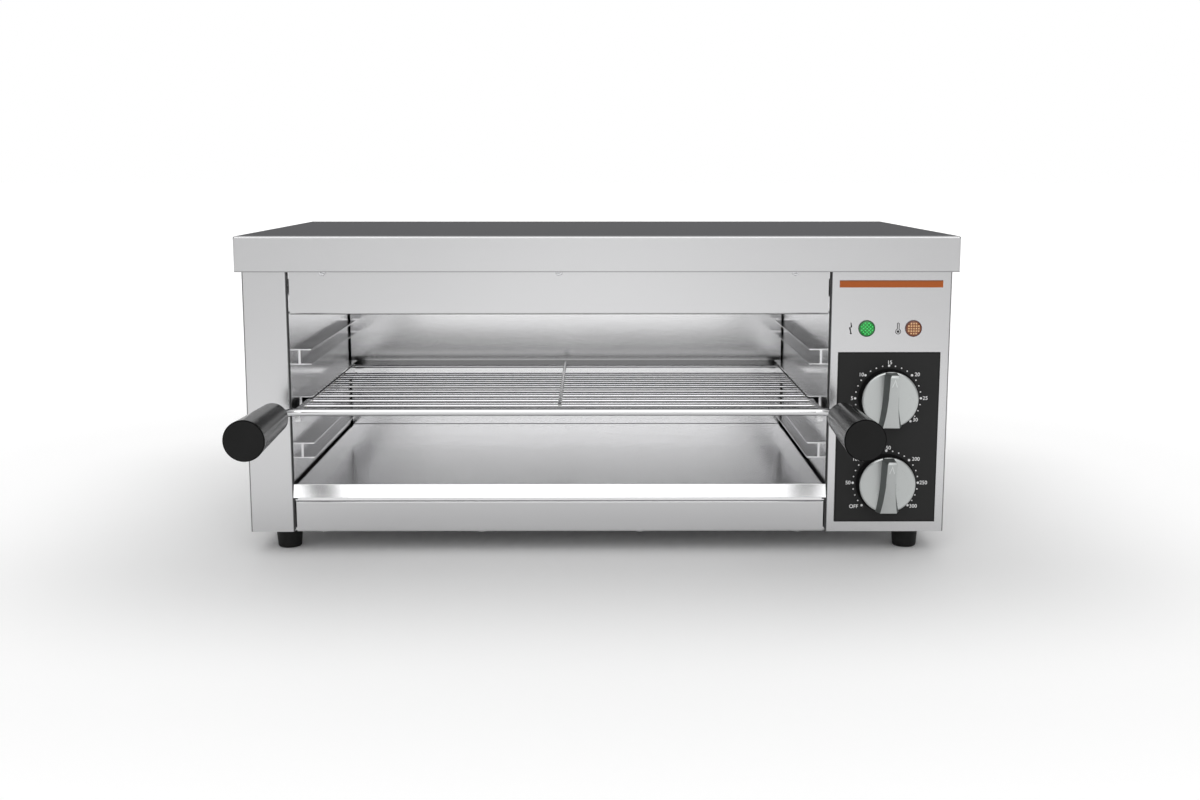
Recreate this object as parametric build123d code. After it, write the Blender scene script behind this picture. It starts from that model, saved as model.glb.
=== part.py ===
from build123d import *
from math import radians, tan
import os

# A countertop salamander toaster: a sheet-steel casing round an open grill cavity, with a sliding
# wire rack, a crumb tray and a control column. Sizes are in millimetres. X runs to the right, Y to
# the back and Z up. The origin is under the middle of the whole, on the surface it stands on.

# Cover and casing
COVER_WIDTH = 610.0
COVER_DEPTH = 340.0
COVER_SKIRT = 30.0
COVER_OVERHANG = 5.0
TOTAL_HEIGHT = 275.0
FOOT_HEIGHT = 20.0
LEFT_COLUMN_WIDTH = 39.0
CONTROL_COLUMN_WIDTH = 103.5
UPPER_FASCIA_HEIGHT = 36.2
LOWER_FASCIA_HEIGHT = 27.5
REAR_SPACE = 35.0
CASING_SHEET = 1.2
LINER_SHEET = 1.0
INNER_BEND = 0.6
FLANGE = 15.0
LINER_FLANGE = 12.0
SEAM = 1.0
FIT_GAP = 0.2
REAR_CORNER_GAP = 1.6
SIDE_LINER_STOP = 5.0
REFLECTOR_DROP = 6.0

# Vents in the rear panel and under the controls
VENT_LENGTH = 40.0
VENT_WIDTH = 4.0
VENT_PITCH = 10.0
REAR_VENT_ROWS = 8
REAR_VENT_COLUMNS = 4
REAR_VENT_STEP = 55.0
REAR_VENT_DROP = 35.0
BASE_VENT_COUNT = 9

# Rack rails
RAIL_COUNT = 3
RAIL_PITCH = 41.7
RAIL_RISE = 30.0
RAIL_WIDTH = 10.4
RAIL_HEIGHT = 13.8
RAIL_SHEET = 1.0
RAIL_SETBACK = 38.0
RAIL_END_GAP = 17.0
RACK_RAIL = 1

# Rack and its handles
SLIDE_GAP = 0.3
FRONT_BAR_DIAMETER = 6.5
FRONT_BAR_REACH = 23.5
FRONT_BAR_BEND = 18.0
SIDE_BAR_WIDTH = 4.5
SIDE_BAR_HEIGHT = 10.5
SIDE_BAR_INSET = 6.6
ROD_DIAMETER = 3.0
ROD_DROP = 1.8
ROD_COUNT = 8
FIRST_ROD_SETBACK = 7.3
REAR_ROD_GAP = 38.0
LAST_ROD_SPACE = 57.9
ROD_OVERRUN = 3.0
HANDLE_DIAMETER = 32.0
HANDLE_REAR_DIAMETER = 25.4
HANDLE_LENGTH = 100.0
HANDLE_STANDOFF = 11.5
HANDLE_OUTSET = 4.5
HANDLE_CHAMFER = 0.8
HANDLE_BORE_DEPTH = 35.0
HANDLE_BORE_CLEARANCE = 0.05

# Crumb tray
TRAY_SHEET = 1.0
TRAY_SIDE_GAP = 2.6
TRAY_HEIGHT = 13.5
TRAY_LIP_HEIGHT = 11.4
TRAY_LIP_DEPTH = 5.0
TRAY_LIP_OVERLAP = 0.6
TRAY_LIP_LEAN = 20.0
TRAY_LIP_ROUND = 0.4
TRAY_REAR_GAP = 2.0

# Heating elements under the reflector
ELEMENT_DIAMETER = 8.0
ELEMENT_COUNT = 2
ELEMENT_SPAN = 56.0
ELEMENT_SETBACK = 55.0
ELEMENT_REAR_GAP = 59.0
ELEMENT_DROP = 16.0
ELEMENT_END_GAP = 14.0
ELEMENT_TAIL = 14.0
ELEMENT_CLEARANCE = 0.1
HANGER_SHEET = 1.5
HANGER_HEIGHT = 24.0
HANGER_MARGIN = 12.0
HANGER_INSET = 110.0
BUSH_DIAMETER = 14.0
BUSH_LENGTH = 6.0

# Control panel
TRIM_WIDTH = 87.2
TRIM_HEIGHT = 6.0
TRIM_THICKNESS = 0.8
TRIM_DROP = 7.3
PLATE_WIDTH = 87.0
PLATE_HEIGHT = 147.8
PLATE_THICKNESS = 1.0
PLATE_RISE = 8.8
KNOB_AXIS_OFFSET = 0.2
TIMER_DROP = 39.6
KNOB_SPACING = 73.8
LAMP_SPACING = 39.7
LAMP_RISE = 20.3
LAMP_DIAMETER = 14.2
LAMP_DOME = 2.4
LAMP_RIM = 1.2
LAMP_BODY_DIAMETER = 11.0
LAMP_BODY_LENGTH = 26.0
LAMP_CLEARANCE = 0.2

# Knobs and the switches behind them
KNOB_DIAMETER = 48.0
KNOB_SKIRT = 7.5
KNOB_WALL = 2.5
KNOB_STANDOFF = 1.0
KNOB_HUB_DIAMETER = 13.0
CAP_THICKNESS = 2.0
CAP_ROUND = 0.8
GRIP_HEIGHT = 18.5
GRIP_TIP_WIDTH = 8.0
GRIP_WAIST_WIDTH = 8.6
GRIP_TAIL_WIDTH = 15.0
GRIP_TAIL_RISE = 7.5
GRIP_TIP_INSET = 0.6
GRIP_TAIL_INSET = 0.8
SHAFT_DIAMETER = 6.0
SHAFT_CLEARANCE = 0.05
SHAFT_DEPTH = 18.0
PANEL_HOLE_CLEARANCE = 1.5
SWITCH_SCREW_SPACING = 28.0
TIMER_CASE_WIDTH = 46.0
TIMER_CASE_HEIGHT = 46.0
TIMER_CASE_DEPTH = 38.0
THERMOSTAT_CASE_WIDTH = 42.0
THERMOSTAT_CASE_HEIGHT = 36.0
THERMOSTAT_CASE_DEPTH = 30.0
CASE_ROUND = 3.0
BULB_DIAMETER = 6.0
BULB_LENGTH = 95.0
BULB_END_GAP = 8.0
CAPILLARY_DIAMETER = 2.0
CAPILLARY_BEND = 12.0
CAPILLARY_ENTRY = 10.0
WIRE_DIAMETER = 2.6
WIRE_BEND = 7.0
WIRE_RUN = 30.0
WIRE_SPREAD = 9.0
CLIP_WIDTH = 8.0
CLIP_SHEET = 0.8

# Supply
TERMINAL_LENGTH = 58.0
TERMINAL_DEPTH = 22.0
TERMINAL_HEIGHT = 20.0
TERMINAL_POLES = 5
TERMINAL_SETBACK = 60.0
GLAND_BORE = 10.0
GLAND_THREAD_DIAMETER = 16.0
GLAND_ACROSS_FLATS = 22.0
GLAND_REACH = 18.0
GLAND_COLLAR = 6.0
GLAND_NUT_LENGTH = 5.0
GLAND_INSET = 45.0
GLAND_RISE = 35.0
GLAND_CLEARANCE = 0.2

# Feet and screws
FOOT_TOP_DIAMETER = 22.0
FOOT_BOTTOM_DIAMETER = 18.6
FOOT_INSET = 27.0
FOOT_SETBACK = 30.0
FOOT_ROUND = 1.0
FOOT_RECESS_DIAMETER = 11.0
FOOT_RECESS_DEPTH = 8.0
FOOT_SCREW_DIAMETER = 5.0
FOOT_SCREW_HEAD = 9.0
FOOT_NUT = 9.0
FOOT_NUT_HEIGHT = 4.0
SCREW_CLEARANCE = 0.1
SMALL_SCREW_DIAMETER = 3.0
SMALL_SCREW_HEAD = 6.0
SMALL_SCREW_LENGTH = 7.0
FASCIA_SCREW_MARGIN = 29.5
FASCIA_SCREW_COUNT = 3
FASCIA_SCREW_DROP = 0.4
BASE_SCREW_DIAMETER = 4.0
BASE_SCREW_HEAD = 8.0
BASE_SCREW_LENGTH = 8.0
BASE_SCREW_MARGIN = 22.0
BASE_SCREW_COUNT = 4
BASE_SCREW_SETBACK = 9.0
REAR_SCREW_ROWS = 3
REAR_SCREW_MARGIN = 25.0

# Lines that the pieces share
body_width = COVER_WIDTH - 2 * COVER_OVERHANG
body_depth = COVER_DEPTH - 2 * COVER_OVERHANG
body_left = -body_width / 2
body_right = body_width / 2
handle_reach = FRONT_BAR_REACH + FRONT_BAR_BEND + HANDLE_STANDOFF + HANDLE_LENGTH
overall_depth = handle_reach + body_depth + GLAND_REACH
front = -overall_depth / 2 + handle_reach
rear = front + body_depth
cavity_left = body_left + LEFT_COLUMN_WIDTH
cavity_right = body_right - CONTROL_COLUMN_WIDTH
cavity_middle = (cavity_left + cavity_right) / 2
cavity_rear = rear - REAR_SPACE
skirt_low = TOTAL_HEIGHT - COVER_SKIRT
casing_top = TOTAL_HEIGHT - CASING_SHEET
opening_top = skirt_low - UPPER_FASCIA_HEIGHT
base_low = FOOT_HEIGHT
pan_low = base_low + CASING_SHEET
pan_top = pan_low + CASING_SHEET
floor_low = base_low + LOWER_FASCIA_HEIGHT
floor_top = floor_low + LINER_SHEET
reflector_low = skirt_low - REFLECTOR_DROP
reflector_top = reflector_low + LINER_SHEET
bend = INNER_BEND + CASING_SHEET
casing_inner_front = front + CASING_SHEET
casing_inner_rear = rear - CASING_SHEET
control_middle = (cavity_right + body_right) / 2 + KNOB_AXIS_OFFSET
panel_back = casing_inner_front
plate_face = front - PLATE_THICKNESS
plate_low = base_low + PLATE_RISE
plate_high = plate_low + PLATE_HEIGHT
timer_z = plate_high - TIMER_DROP
thermostat_z = timer_z - KNOB_SPACING
lamp_z = plate_high + LAMP_RISE
element_z = reflector_low - ELEMENT_DROP
foot_x = (body_left + FOOT_INSET, body_right - FOOT_INSET)
foot_y = (front + FOOT_SETBACK, rear - FOOT_SETBACK)
gland_x = body_right - GLAND_INSET
gland_z = base_low + GLAND_RISE
small_screw_hole = SMALL_SCREW_DIAMETER / 2 + SCREW_CLEARANCE


def block(x, y, z):
    """A box that spans the three pairs of limits."""
    middle = [(low + high) / 2 for low, high in (x, y, z)]
    size = [high - low for low, high in (x, y, z)]
    return Pos(*middle) * Box(*size)


def rod(axis, start, length, radius):
    """A round rod from start, along the axis X, Y or Z."""
    turn = {"X": Rot(0, 90, 0), "Y": Rot(-90, 0, 0), "Z": Rot(0, 0, 0)}[axis]
    bottom = (Align.CENTER, Align.CENTER, Align.MIN)
    return Pos(*start) * turn * Cylinder(radius, length, align=bottom)


def hexagon(start, across, length):
    """A six-sided bar along Y."""
    profile = RegularPolygon(across / 2, 6, major_radius=False)
    return Pos(*start) * Rot(-90, 0, 0) * extrude(profile, length)


def screw(axis, start, direction, shank, head, length, head_height):
    """A round-headed screw: start lies under the head and direction is the way it goes in."""
    sign = {"X": (1, 0, 0), "Y": (0, 1, 0), "Z": (0, 0, 1)}[axis]
    step = [direction * part for part in sign]
    shank_start = start
    head_start = [place - part * head_height for place, part in zip(start, step)]
    if direction < 0:
        shank_start = [place - part * length for place, part in zip(start, sign)]
        head_start = start
    outer = [place - part * head_height for place, part in zip(start, step)]
    top = rod(axis, head_start, head_height, head / 2)
    face = min(top.faces(), key=lambda item: (item.center() - Vector(*outer)).length)
    top = fillet(face.edges(), head_height * 0.45)
    return top + rod(axis, shank_start, length, shank / 2)


def group(solids):
    """Separate solids kept in one node."""
    return Compound(children=list(solids))


def vent(x, y, z, axis):
    """A round-ended slot through a sheet, long in X."""
    slot = extrude(SlotOverall(VENT_LENGTH, VENT_WIDTH), 4 * CASING_SHEET, both=True)
    turn = Rot(90, 0, 0) if axis == "Y" else Rot(0, 0, 0)
    return Pos(x, y, z) * turn * slot


def make_top_cover():
    sides = (-COVER_WIDTH / 2, COVER_WIDTH / 2)
    ends = (front - COVER_OVERHANG, rear + COVER_OVERHANG)
    outer = block(sides, ends, (skirt_low, TOTAL_HEIGHT))
    outer = fillet(outer.edges().filter_by(Axis.Z) + outer.faces().sort_by(Axis.Z)[-1].edges(), bend)
    inset = CASING_SHEET
    inner = block((sides[0] + inset, sides[1] - inset), (ends[0] + inset, ends[1] - inset),
                  (skirt_low, casing_top))
    inner = fillet(inner.edges().filter_by(Axis.Z) + inner.faces().sort_by(Axis.Z)[-1].edges(), INNER_BEND)
    return outer - inner


def column(outer_x, inner_x):
    """A side of the casing: front face, side wall and flanges folded from one sheet."""
    inward = 1 if inner_x > outer_x else -1
    sheet = CASING_SHEET * inward

    def span(a, b):
        return (min(a, b), max(a, b))

    body = block(span(outer_x, inner_x), (front, casing_inner_rear), (base_low, casing_top))
    front_edges = body.edges().filter_by(Axis.Z).sort_by(Axis.Y)[:2]
    body = fillet(front_edges, bend)
    inside_z = (pan_low, casing_top - CASING_SHEET)
    hollow_y = (casing_inner_front, casing_inner_rear - CASING_SHEET)
    hollow = block(span(outer_x + sheet, inner_x - sheet), hollow_y, inside_z)
    hollow = fillet(hollow.edges().filter_by(Axis.Z).sort_by(Axis.Y)[:2], INNER_BEND)
    body -= hollow
    return_low = pan_top + LINER_SHEET + FIT_GAP
    side_opening = span(inner_x - sheet - FIT_GAP * inward, inner_x)
    body -= block(side_opening, (front + FLANGE, rear), inside_z)
    body -= block(side_opening, (front + bend, rear), (pan_low, return_low))
    rear_opening = span(outer_x + FLANGE * inward, inner_x)
    body -= block(rear_opening, (hollow_y[1] - FIT_GAP, casing_inner_rear), inside_z)
    lip = block(span(outer_x, outer_x + sheet), (casing_inner_rear, rear), (base_low, casing_top))
    body += lip
    for y in foot_y:
        x = outer_x + FOOT_INSET * inward
        body -= rod("Z", (x, y, base_low), CASING_SHEET, FOOT_SCREW_DIAMETER / 2 + SCREW_CLEARANCE)
    for x, z in rear_screw_places():
        body -= rod("Y", (x, casing_inner_rear - FLANGE, z), FLANGE, small_screw_hole)
    return body


def spread(low, high, margin, count):
    """Evenly spaced places between two limits, the first and last a margin inside them."""
    step = (high - low - 2 * margin) / (count - 1)
    return [low + margin + step * number for number in range(count)]


def rear_screw_places():
    """Screws down both sides of the rear panel."""
    z_places = spread(base_low, skirt_low, REAR_SCREW_MARGIN, REAR_SCREW_ROWS)
    return [(x, z) for x in (body_left + FLANGE / 2, body_right - FLANGE / 2) for z in z_places]


def fascia_screw_places():
    """Screws in a row under the cover's skirt."""
    z = skirt_low - FASCIA_SCREW_DROP
    return [(x, z) for x in spread(cavity_left, cavity_right, FASCIA_SCREW_MARGIN, FASCIA_SCREW_COUNT)]


def base_screw_places():
    """Screws in a row under the front edge."""
    y = front + BASE_SCREW_SETBACK
    return [(x, y) for x in spread(cavity_left, cavity_right, BASE_SCREW_MARGIN, BASE_SCREW_COUNT)]


def switch_screw_places():
    """Two screws beside each shaft, under its knob."""
    half = SWITCH_SCREW_SPACING / 2
    return [(control_middle + side * half, z) for z in (timer_z, thermostat_z) for side in (-1, 1)]


def lamp_places():
    return [(control_middle + side * LAMP_SPACING / 2, lamp_z) for side in (-1, 1)]


def element_places():
    """The two Y lines that each heating element runs along."""
    first = front + ELEMENT_SETBACK
    last = cavity_rear - ELEMENT_REAR_GAP - ELEMENT_SPAN
    return [(y, y + ELEMENT_SPAN) for y in spread(first, last, 0, ELEMENT_COUNT)]


def base_vents():
    """Slots under the controls, through the casing's flange and the base pan above it."""
    first_y = (front + rear) / 2 - VENT_PITCH * (BASE_VENT_COUNT - 1) / 2
    x = (cavity_right + body_right) / 2
    return [vent(x, first_y + place * VENT_PITCH, pan_low, "Z") for place in range(BASE_VENT_COUNT)]


def make_left_side_panel():
    return column(body_left, cavity_left - LINER_SHEET)


def make_control_casing():
    casing = column(body_right, cavity_right + LINER_SHEET)
    depth = 2 * FLANGE
    for z in (timer_z, thermostat_z):
        hole = SHAFT_DIAMETER / 2 + PANEL_HOLE_CLEARANCE
        casing -= rod("Y", (control_middle, front - depth / 2, z), depth, hole)
    for x, z in switch_screw_places():
        casing -= rod("Y", (x, front - depth / 2, z), depth, small_screw_hole)
    for x, z in lamp_places():
        casing -= rod("Y", (x, front - depth / 2, z), depth, LAMP_BODY_DIAMETER / 2 + LAMP_CLEARANCE)
    for slot in base_vents():
        casing -= slot
    return casing


def make_rear_panel():
    sides = (body_left + CASING_SHEET + FIT_GAP, body_right - CASING_SHEET - FIT_GAP)
    panel = block(sides, (casing_inner_rear, rear), (base_low, casing_top))
    first_x = cavity_middle - REAR_VENT_STEP * (REAR_VENT_COLUMNS - 1) / 2
    for row in range(REAR_VENT_ROWS):
        z = skirt_low - REAR_VENT_DROP - row * VENT_PITCH
        for place in range(REAR_VENT_COLUMNS):
            panel -= vent(first_x + place * REAR_VENT_STEP, rear, z, "Y")
        panel -= vent(control_middle, rear, z, "Y")
    hole = GLAND_THREAD_DIAMETER / 2 + GLAND_CLEARANCE
    panel -= rod("Y", (gland_x, rear - FLANGE, gland_z), 2 * FLANGE, hole)
    for x, z in rear_screw_places():
        panel -= rod("Y", (x, rear - FLANGE, z), 2 * FLANGE, small_screw_hole)
    return panel


def make_base_pan():
    sides = (body_left + CASING_SHEET + FIT_GAP, body_right - CASING_SHEET - FIT_GAP)
    ends = (casing_inner_front + INNER_BEND + FIT_GAP, casing_inner_rear - CASING_SHEET - FIT_GAP)
    pan = block(sides, ends, (pan_low, pan_top))
    for slot in base_vents():
        pan -= slot
    for x in foot_x:
        for y in foot_y:
            pan -= rod("Z", (x, y, pan_low), CASING_SHEET, FOOT_SCREW_DIAMETER / 2 + SCREW_CLEARANCE)
    for x, y in base_screw_places():
        pan -= rod("Z", (x, y, pan_low), CASING_SHEET, BASE_SCREW_DIAMETER / 2 + SCREW_CLEARANCE)
    return pan


def make_upper_fascia():
    sides = (cavity_left + SEAM, cavity_right - SEAM)
    fascia = block(sides, (front, front + FLANGE), (opening_top, casing_top))
    front_edges = fascia.edges().filter_by(Axis.X).sort_by(Axis.Y)[:2]
    fascia = fillet(front_edges, bend)
    hollow_z = (opening_top + CASING_SHEET, casing_top - CASING_SHEET)
    hollow = block(sides, (casing_inner_front, front + FLANGE), hollow_z)
    fascia -= fillet(hollow.edges().filter_by(Axis.X).sort_by(Axis.Y)[:2], INNER_BEND)
    for x, z in fascia_screw_places():
        fascia -= rod("Y", (x, front, z), CASING_SHEET, small_screw_hole)
    return fascia


def make_lower_fascia():
    sides = (cavity_left + SEAM, cavity_right - SEAM)
    fascia = block(sides, (front, front + FLANGE), (base_low, floor_low))
    front_edges = fascia.edges().filter_by(Axis.X).sort_by(Axis.Y)[:2]
    fascia = fillet(front_edges, bend)
    hollow_z = (pan_low, floor_low - CASING_SHEET)
    hollow = block(sides, (casing_inner_front, front + FLANGE), hollow_z)
    fascia -= fillet(hollow.edges().filter_by(Axis.X).sort_by(Axis.Y)[:2], INNER_BEND)
    for x, y in base_screw_places():
        fascia -= rod("Z", (x, y, base_low), CASING_SHEET, BASE_SCREW_DIAMETER / 2 + SCREW_CLEARANCE)
    return fascia


def side_liner(face_x, outward):
    """A wall of the cavity with a foot flange under the cavity floor, on the base pan."""
    back_x = face_x + outward * LINER_SHEET
    flange_x = face_x - outward * LINER_FLANGE
    ends = (front, cavity_rear - SIDE_LINER_STOP)
    wall_x = (min(face_x, back_x), max(face_x, back_x))
    foot_x_span = (min(back_x, flange_x), max(back_x, flange_x))
    wall = block(wall_x, ends, (pan_top, reflector_top + FLANGE))
    foot_y_span = (casing_inner_front + INNER_BEND + FIT_GAP, ends[1])
    return wall + block(foot_x_span, foot_y_span, (pan_top, pan_top + LINER_SHEET))


def make_left_liner():
    return side_liner(cavity_left, -1)


def make_right_liner():
    liner = side_liner(cavity_right, 1)
    for pair in element_places():
        for y in pair:
            hole = ELEMENT_DIAMETER / 2 + ELEMENT_CLEARANCE
            liner -= rod("X", (cavity_right, y, element_z), LINER_SHEET, hole)
    x, y, z = bulb_end()
    hole = CAPILLARY_DIAMETER / 2 + SCREW_CLEARANCE
    return liner - rod("X", (cavity_right, y, z), LINER_SHEET, hole)


def make_rear_liner():
    sides = (cavity_left + REAR_CORNER_GAP, cavity_right - REAR_CORNER_GAP)
    wall = block(sides, (cavity_rear, cavity_rear + LINER_SHEET), (pan_top, reflector_top + FLANGE))
    foot = block(sides, (cavity_rear, cavity_rear + FLANGE), (pan_top, pan_top + LINER_SHEET))
    return wall + foot


def make_cavity_floor():
    sides = (cavity_left + FIT_GAP, cavity_right - FIT_GAP)
    return block(sides, (casing_inner_front, cavity_rear - FIT_GAP), (floor_low, floor_top))


def make_reflector():
    sides = (cavity_left + FIT_GAP, cavity_right - FIT_GAP)
    ends = (casing_inner_front, cavity_rear - FIT_GAP)
    tray = block(sides, ends, (reflector_low, reflector_top + FLANGE / 2))
    inner_x = (sides[0] + LINER_SHEET, sides[1] - LINER_SHEET)
    inner_y = (ends[0] + LINER_SHEET, ends[1] - LINER_SHEET)
    tray -= block(inner_x, inner_y, (reflector_top, reflector_top + FLANGE))
    for x, z in fascia_screw_places():
        tray -= rod("Y", (x, ends[0], z), LINER_SHEET, small_screw_hole)
    return tray


def make_insulation_mat():
    inset = LINER_SHEET + 2 * FIT_GAP
    sides = (cavity_left + inset, cavity_right - inset)
    ends = (casing_inner_front + FLANGE, cavity_rear - inset)
    return block(sides, ends, (reflector_top + FIT_GAP, casing_top - CASING_SHEET - FIT_GAP))


def rail_low(number):
    """The underside of a rail, counted from the bottom one."""
    return floor_low + RAIL_RISE + number * RAIL_PITCH


def make_rail(number, face_x, inward):
    """A channel with its web on the cavity wall and its open side towards the rack."""
    low = rail_low(number)
    edge_x = face_x + inward * RAIL_WIDTH
    web_x = face_x + inward * RAIL_SHEET
    ends = (front + RAIL_SETBACK, cavity_rear - RAIL_END_GAP)
    outer_x = (min(face_x, edge_x), max(face_x, edge_x))
    inner_x = (min(web_x, edge_x), max(web_x, edge_x))
    channel = block(outer_x, ends, (low, low + RAIL_HEIGHT))
    return channel - block(inner_x, ends, (low + RAIL_SHEET, low + RAIL_HEIGHT - RAIL_SHEET))


# The rack's own lines
side_bar_low = rail_low(RACK_RAIL) + RAIL_SHEET + SLIDE_GAP
side_bar_top = side_bar_low + SIDE_BAR_HEIGHT
rod_z = side_bar_top - ROD_DROP
front_bar_y = front - FRONT_BAR_REACH
rack_left = cavity_left + SIDE_BAR_INSET
rack_right = cavity_right - SIDE_BAR_INSET
side_bar_start = front_bar_y + FRONT_BAR_DIAMETER / 2
first_rod_y = front + FIRST_ROD_SETBACK
rear_rod_y = cavity_rear - REAR_ROD_GAP
rod_pitch = (rear_rod_y - LAST_ROD_SPACE - first_rod_y) / (ROD_COUNT - 1)
handle_x = (cavity_left - HANDLE_OUTSET, cavity_right + HANDLE_OUTSET)
handle_front = front - handle_reach
handle_rear = handle_front + HANDLE_LENGTH


def make_rack_front_bar():
    end_y = handle_rear - HANDLE_BORE_DEPTH + FRONT_BAR_DIAMETER / 2
    corners = [(handle_x[0], end_y, rod_z), (handle_x[0], front_bar_y, rod_z),
               (handle_x[1], front_bar_y, rod_z), (handle_x[1], end_y, rod_z)]
    path = FilletPolyline(*corners, radius=FRONT_BAR_BEND)
    section = Plane(origin=corners[0], z_dir=(0, 1, 0)) * Circle(FRONT_BAR_DIAMETER / 2)
    return sweep(section, path)


def make_rack_side_bars():
    end = rear_rod_y + ROD_DIAMETER / 2 + ROD_OVERRUN
    bars = []
    for x, inward in ((rack_left, 1), (rack_right, -1)):
        far = x + inward * SIDE_BAR_WIDTH
        bars.append(block((min(x, far), max(x, far)), (side_bar_start, end), (side_bar_low, side_bar_top)))
    return group(bars)


def cross_rod(y):
    start = rack_left + SIDE_BAR_WIDTH
    length = rack_right - SIDE_BAR_WIDTH - start
    return rod("X", (start, y, rod_z), length, ROD_DIAMETER / 2)


def make_rack_rear_rod():
    return cross_rod(rear_rod_y)


def make_rack_cross_rods():
    return group(cross_rod(first_rod_y + number * rod_pitch) for number in range(ROD_COUNT))


def make_rack_centre_rod():
    start = first_rod_y - ROD_DIAMETER / 2 - ROD_OVERRUN
    length = rear_rod_y + ROD_DIAMETER / 2 + ROD_OVERRUN - start
    return rod("Y", (cavity_middle, start, rod_z + ROD_DIAMETER), length, ROD_DIAMETER / 2)


def make_handle(x):
    """A grip that tapers towards the rack, bored for the end of the front bar."""
    bottom = (Align.CENTER, Align.CENTER, Align.MIN)
    taper = Cone(HANDLE_DIAMETER / 2, HANDLE_REAR_DIAMETER / 2, HANDLE_LENGTH, align=bottom)
    grip = Pos(x, handle_front, rod_z) * Rot(-90, 0, 0) * taper
    grip = chamfer(grip.edges().filter_by(GeomType.CIRCLE), HANDLE_CHAMFER)
    bore = FRONT_BAR_DIAMETER / 2 + HANDLE_BORE_CLEARANCE
    return grip - rod("Y", (x, handle_rear - HANDLE_BORE_DEPTH, rod_z), HANDLE_BORE_DEPTH, bore)


# The tray's own lines
tray_left = cavity_left + TRAY_SIDE_GAP
tray_right = cavity_right - TRAY_SIDE_GAP
tray_low = floor_top + SLIDE_GAP
tray_top = tray_low + TRAY_HEIGHT
tray_rear = cavity_rear - TRAY_REAR_GAP


def leaning_bar(x_span, y_span, z_span):
    """A bar along X whose front face leans back from its lower edge."""
    low, high = z_span
    lean = (high - low) * tan(radians(TRAY_LIP_LEAN))
    profile = [(y_span[0], low), (y_span[1], low), (y_span[1], high), (y_span[0] + lean, high)]
    face = Plane.YZ * Polygon(*profile, align=None)
    return Pos(x_span[0], 0, 0) * extrude(face, x_span[1] - x_span[0])


def make_crumb_tray():
    tray = block((tray_left, tray_right), (front - TRAY_SHEET, tray_rear), (tray_low, tray_top))
    inner_x = (tray_left + TRAY_SHEET, tray_right - TRAY_SHEET)
    inner_y = (front, tray_rear - TRAY_SHEET)
    tray -= block(inner_x, inner_y, (tray_low + TRAY_SHEET, tray_top))
    lip_x = (cavity_left - TRAY_LIP_OVERLAP, cavity_right + TRAY_LIP_OVERLAP)
    lip_y = (front - TRAY_LIP_DEPTH, front - FIT_GAP)
    lip_low = tray_top - TRAY_LIP_HEIGHT
    lip = leaning_bar(lip_x, lip_y, (lip_low, tray_top))
    lip = fillet(lip.faces().sort_by(Axis.Y)[0].edges(), TRAY_LIP_ROUND)
    hollow_x = (lip_x[0] + TRAY_SHEET, lip_x[1] - TRAY_SHEET)
    lip -= leaning_bar(hollow_x, (lip_y[0] + TRAY_SHEET, front), (lip_low, tray_top - TRAY_SHEET))
    return tray + lip


def make_heating_element(pair):
    start_x = cavity_right + LINER_SHEET + BUSH_LENGTH + ELEMENT_TAIL
    near, far = pair
    end_x = cavity_left + ELEMENT_END_GAP
    corners = [(start_x, near, element_z), (end_x, near, element_z),
               (end_x, far, element_z), (start_x, far, element_z)]
    path = FilletPolyline(*corners, radius=ELEMENT_SPAN * 0.49)
    section = Plane(origin=corners[0], z_dir=(-1, 0, 0)) * Circle(ELEMENT_DIAMETER / 2)
    return sweep(section, path)


def make_element_hangers():
    lines = [y for pair in element_places() for y in pair]
    ends = (lines[0] - HANGER_MARGIN, lines[-1] + HANGER_MARGIN)
    hangers = []
    for x in (cavity_left + HANGER_INSET, cavity_right - HANGER_INSET):
        strip = block((x, x + HANGER_SHEET), ends, (reflector_low - HANGER_HEIGHT, reflector_low))
        for y in lines:
            hole = ELEMENT_DIAMETER / 2 + ELEMENT_CLEARANCE
            strip -= rod("X", (x, y, element_z), HANGER_SHEET, hole)
        hangers.append(strip)
    return group(hangers)


def make_element_bushes():
    bushes = []
    for pair in element_places():
        for y in pair:
            place = (cavity_right + LINER_SHEET, y, element_z)
            bush = rod("X", place, BUSH_LENGTH, BUSH_DIAMETER / 2)
            bush -= rod("X", place, BUSH_LENGTH, ELEMENT_DIAMETER / 2 + ELEMENT_CLEARANCE)
            bushes.append(bush)
    return group(bushes)


def make_dial_plate():
    sides = (control_middle - PLATE_WIDTH / 2, control_middle + PLATE_WIDTH / 2)
    plate = block(sides, (plate_face, front), (plate_low, plate_high))
    for z in (timer_z, thermostat_z):
        hole = SHAFT_DIAMETER / 2 + PANEL_HOLE_CLEARANCE
        plate -= rod("Y", (control_middle, plate_face, z), PLATE_THICKNESS, hole)
    for x, z in switch_screw_places():
        plate -= rod("Y", (x, plate_face, z), PLATE_THICKNESS, small_screw_hole)
    return plate


def make_trim_stripe():
    sides = (control_middle - TRIM_WIDTH / 2, control_middle + TRIM_WIDTH / 2)
    high = skirt_low - TRIM_DROP
    return block(sides, (front - TRIM_THICKNESS, front), (high - TRIM_HEIGHT, high))


# The knobs' own lines, from the plate towards the hand
knob_back = plate_face - KNOB_STANDOFF
skirt_front = knob_back - KNOB_SKIRT
cap_front = skirt_front - CAP_THICKNESS
hub_radius = KNOB_HUB_DIAMETER / 2
shaft_end = skirt_front + KNOB_WALL / 2


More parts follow.
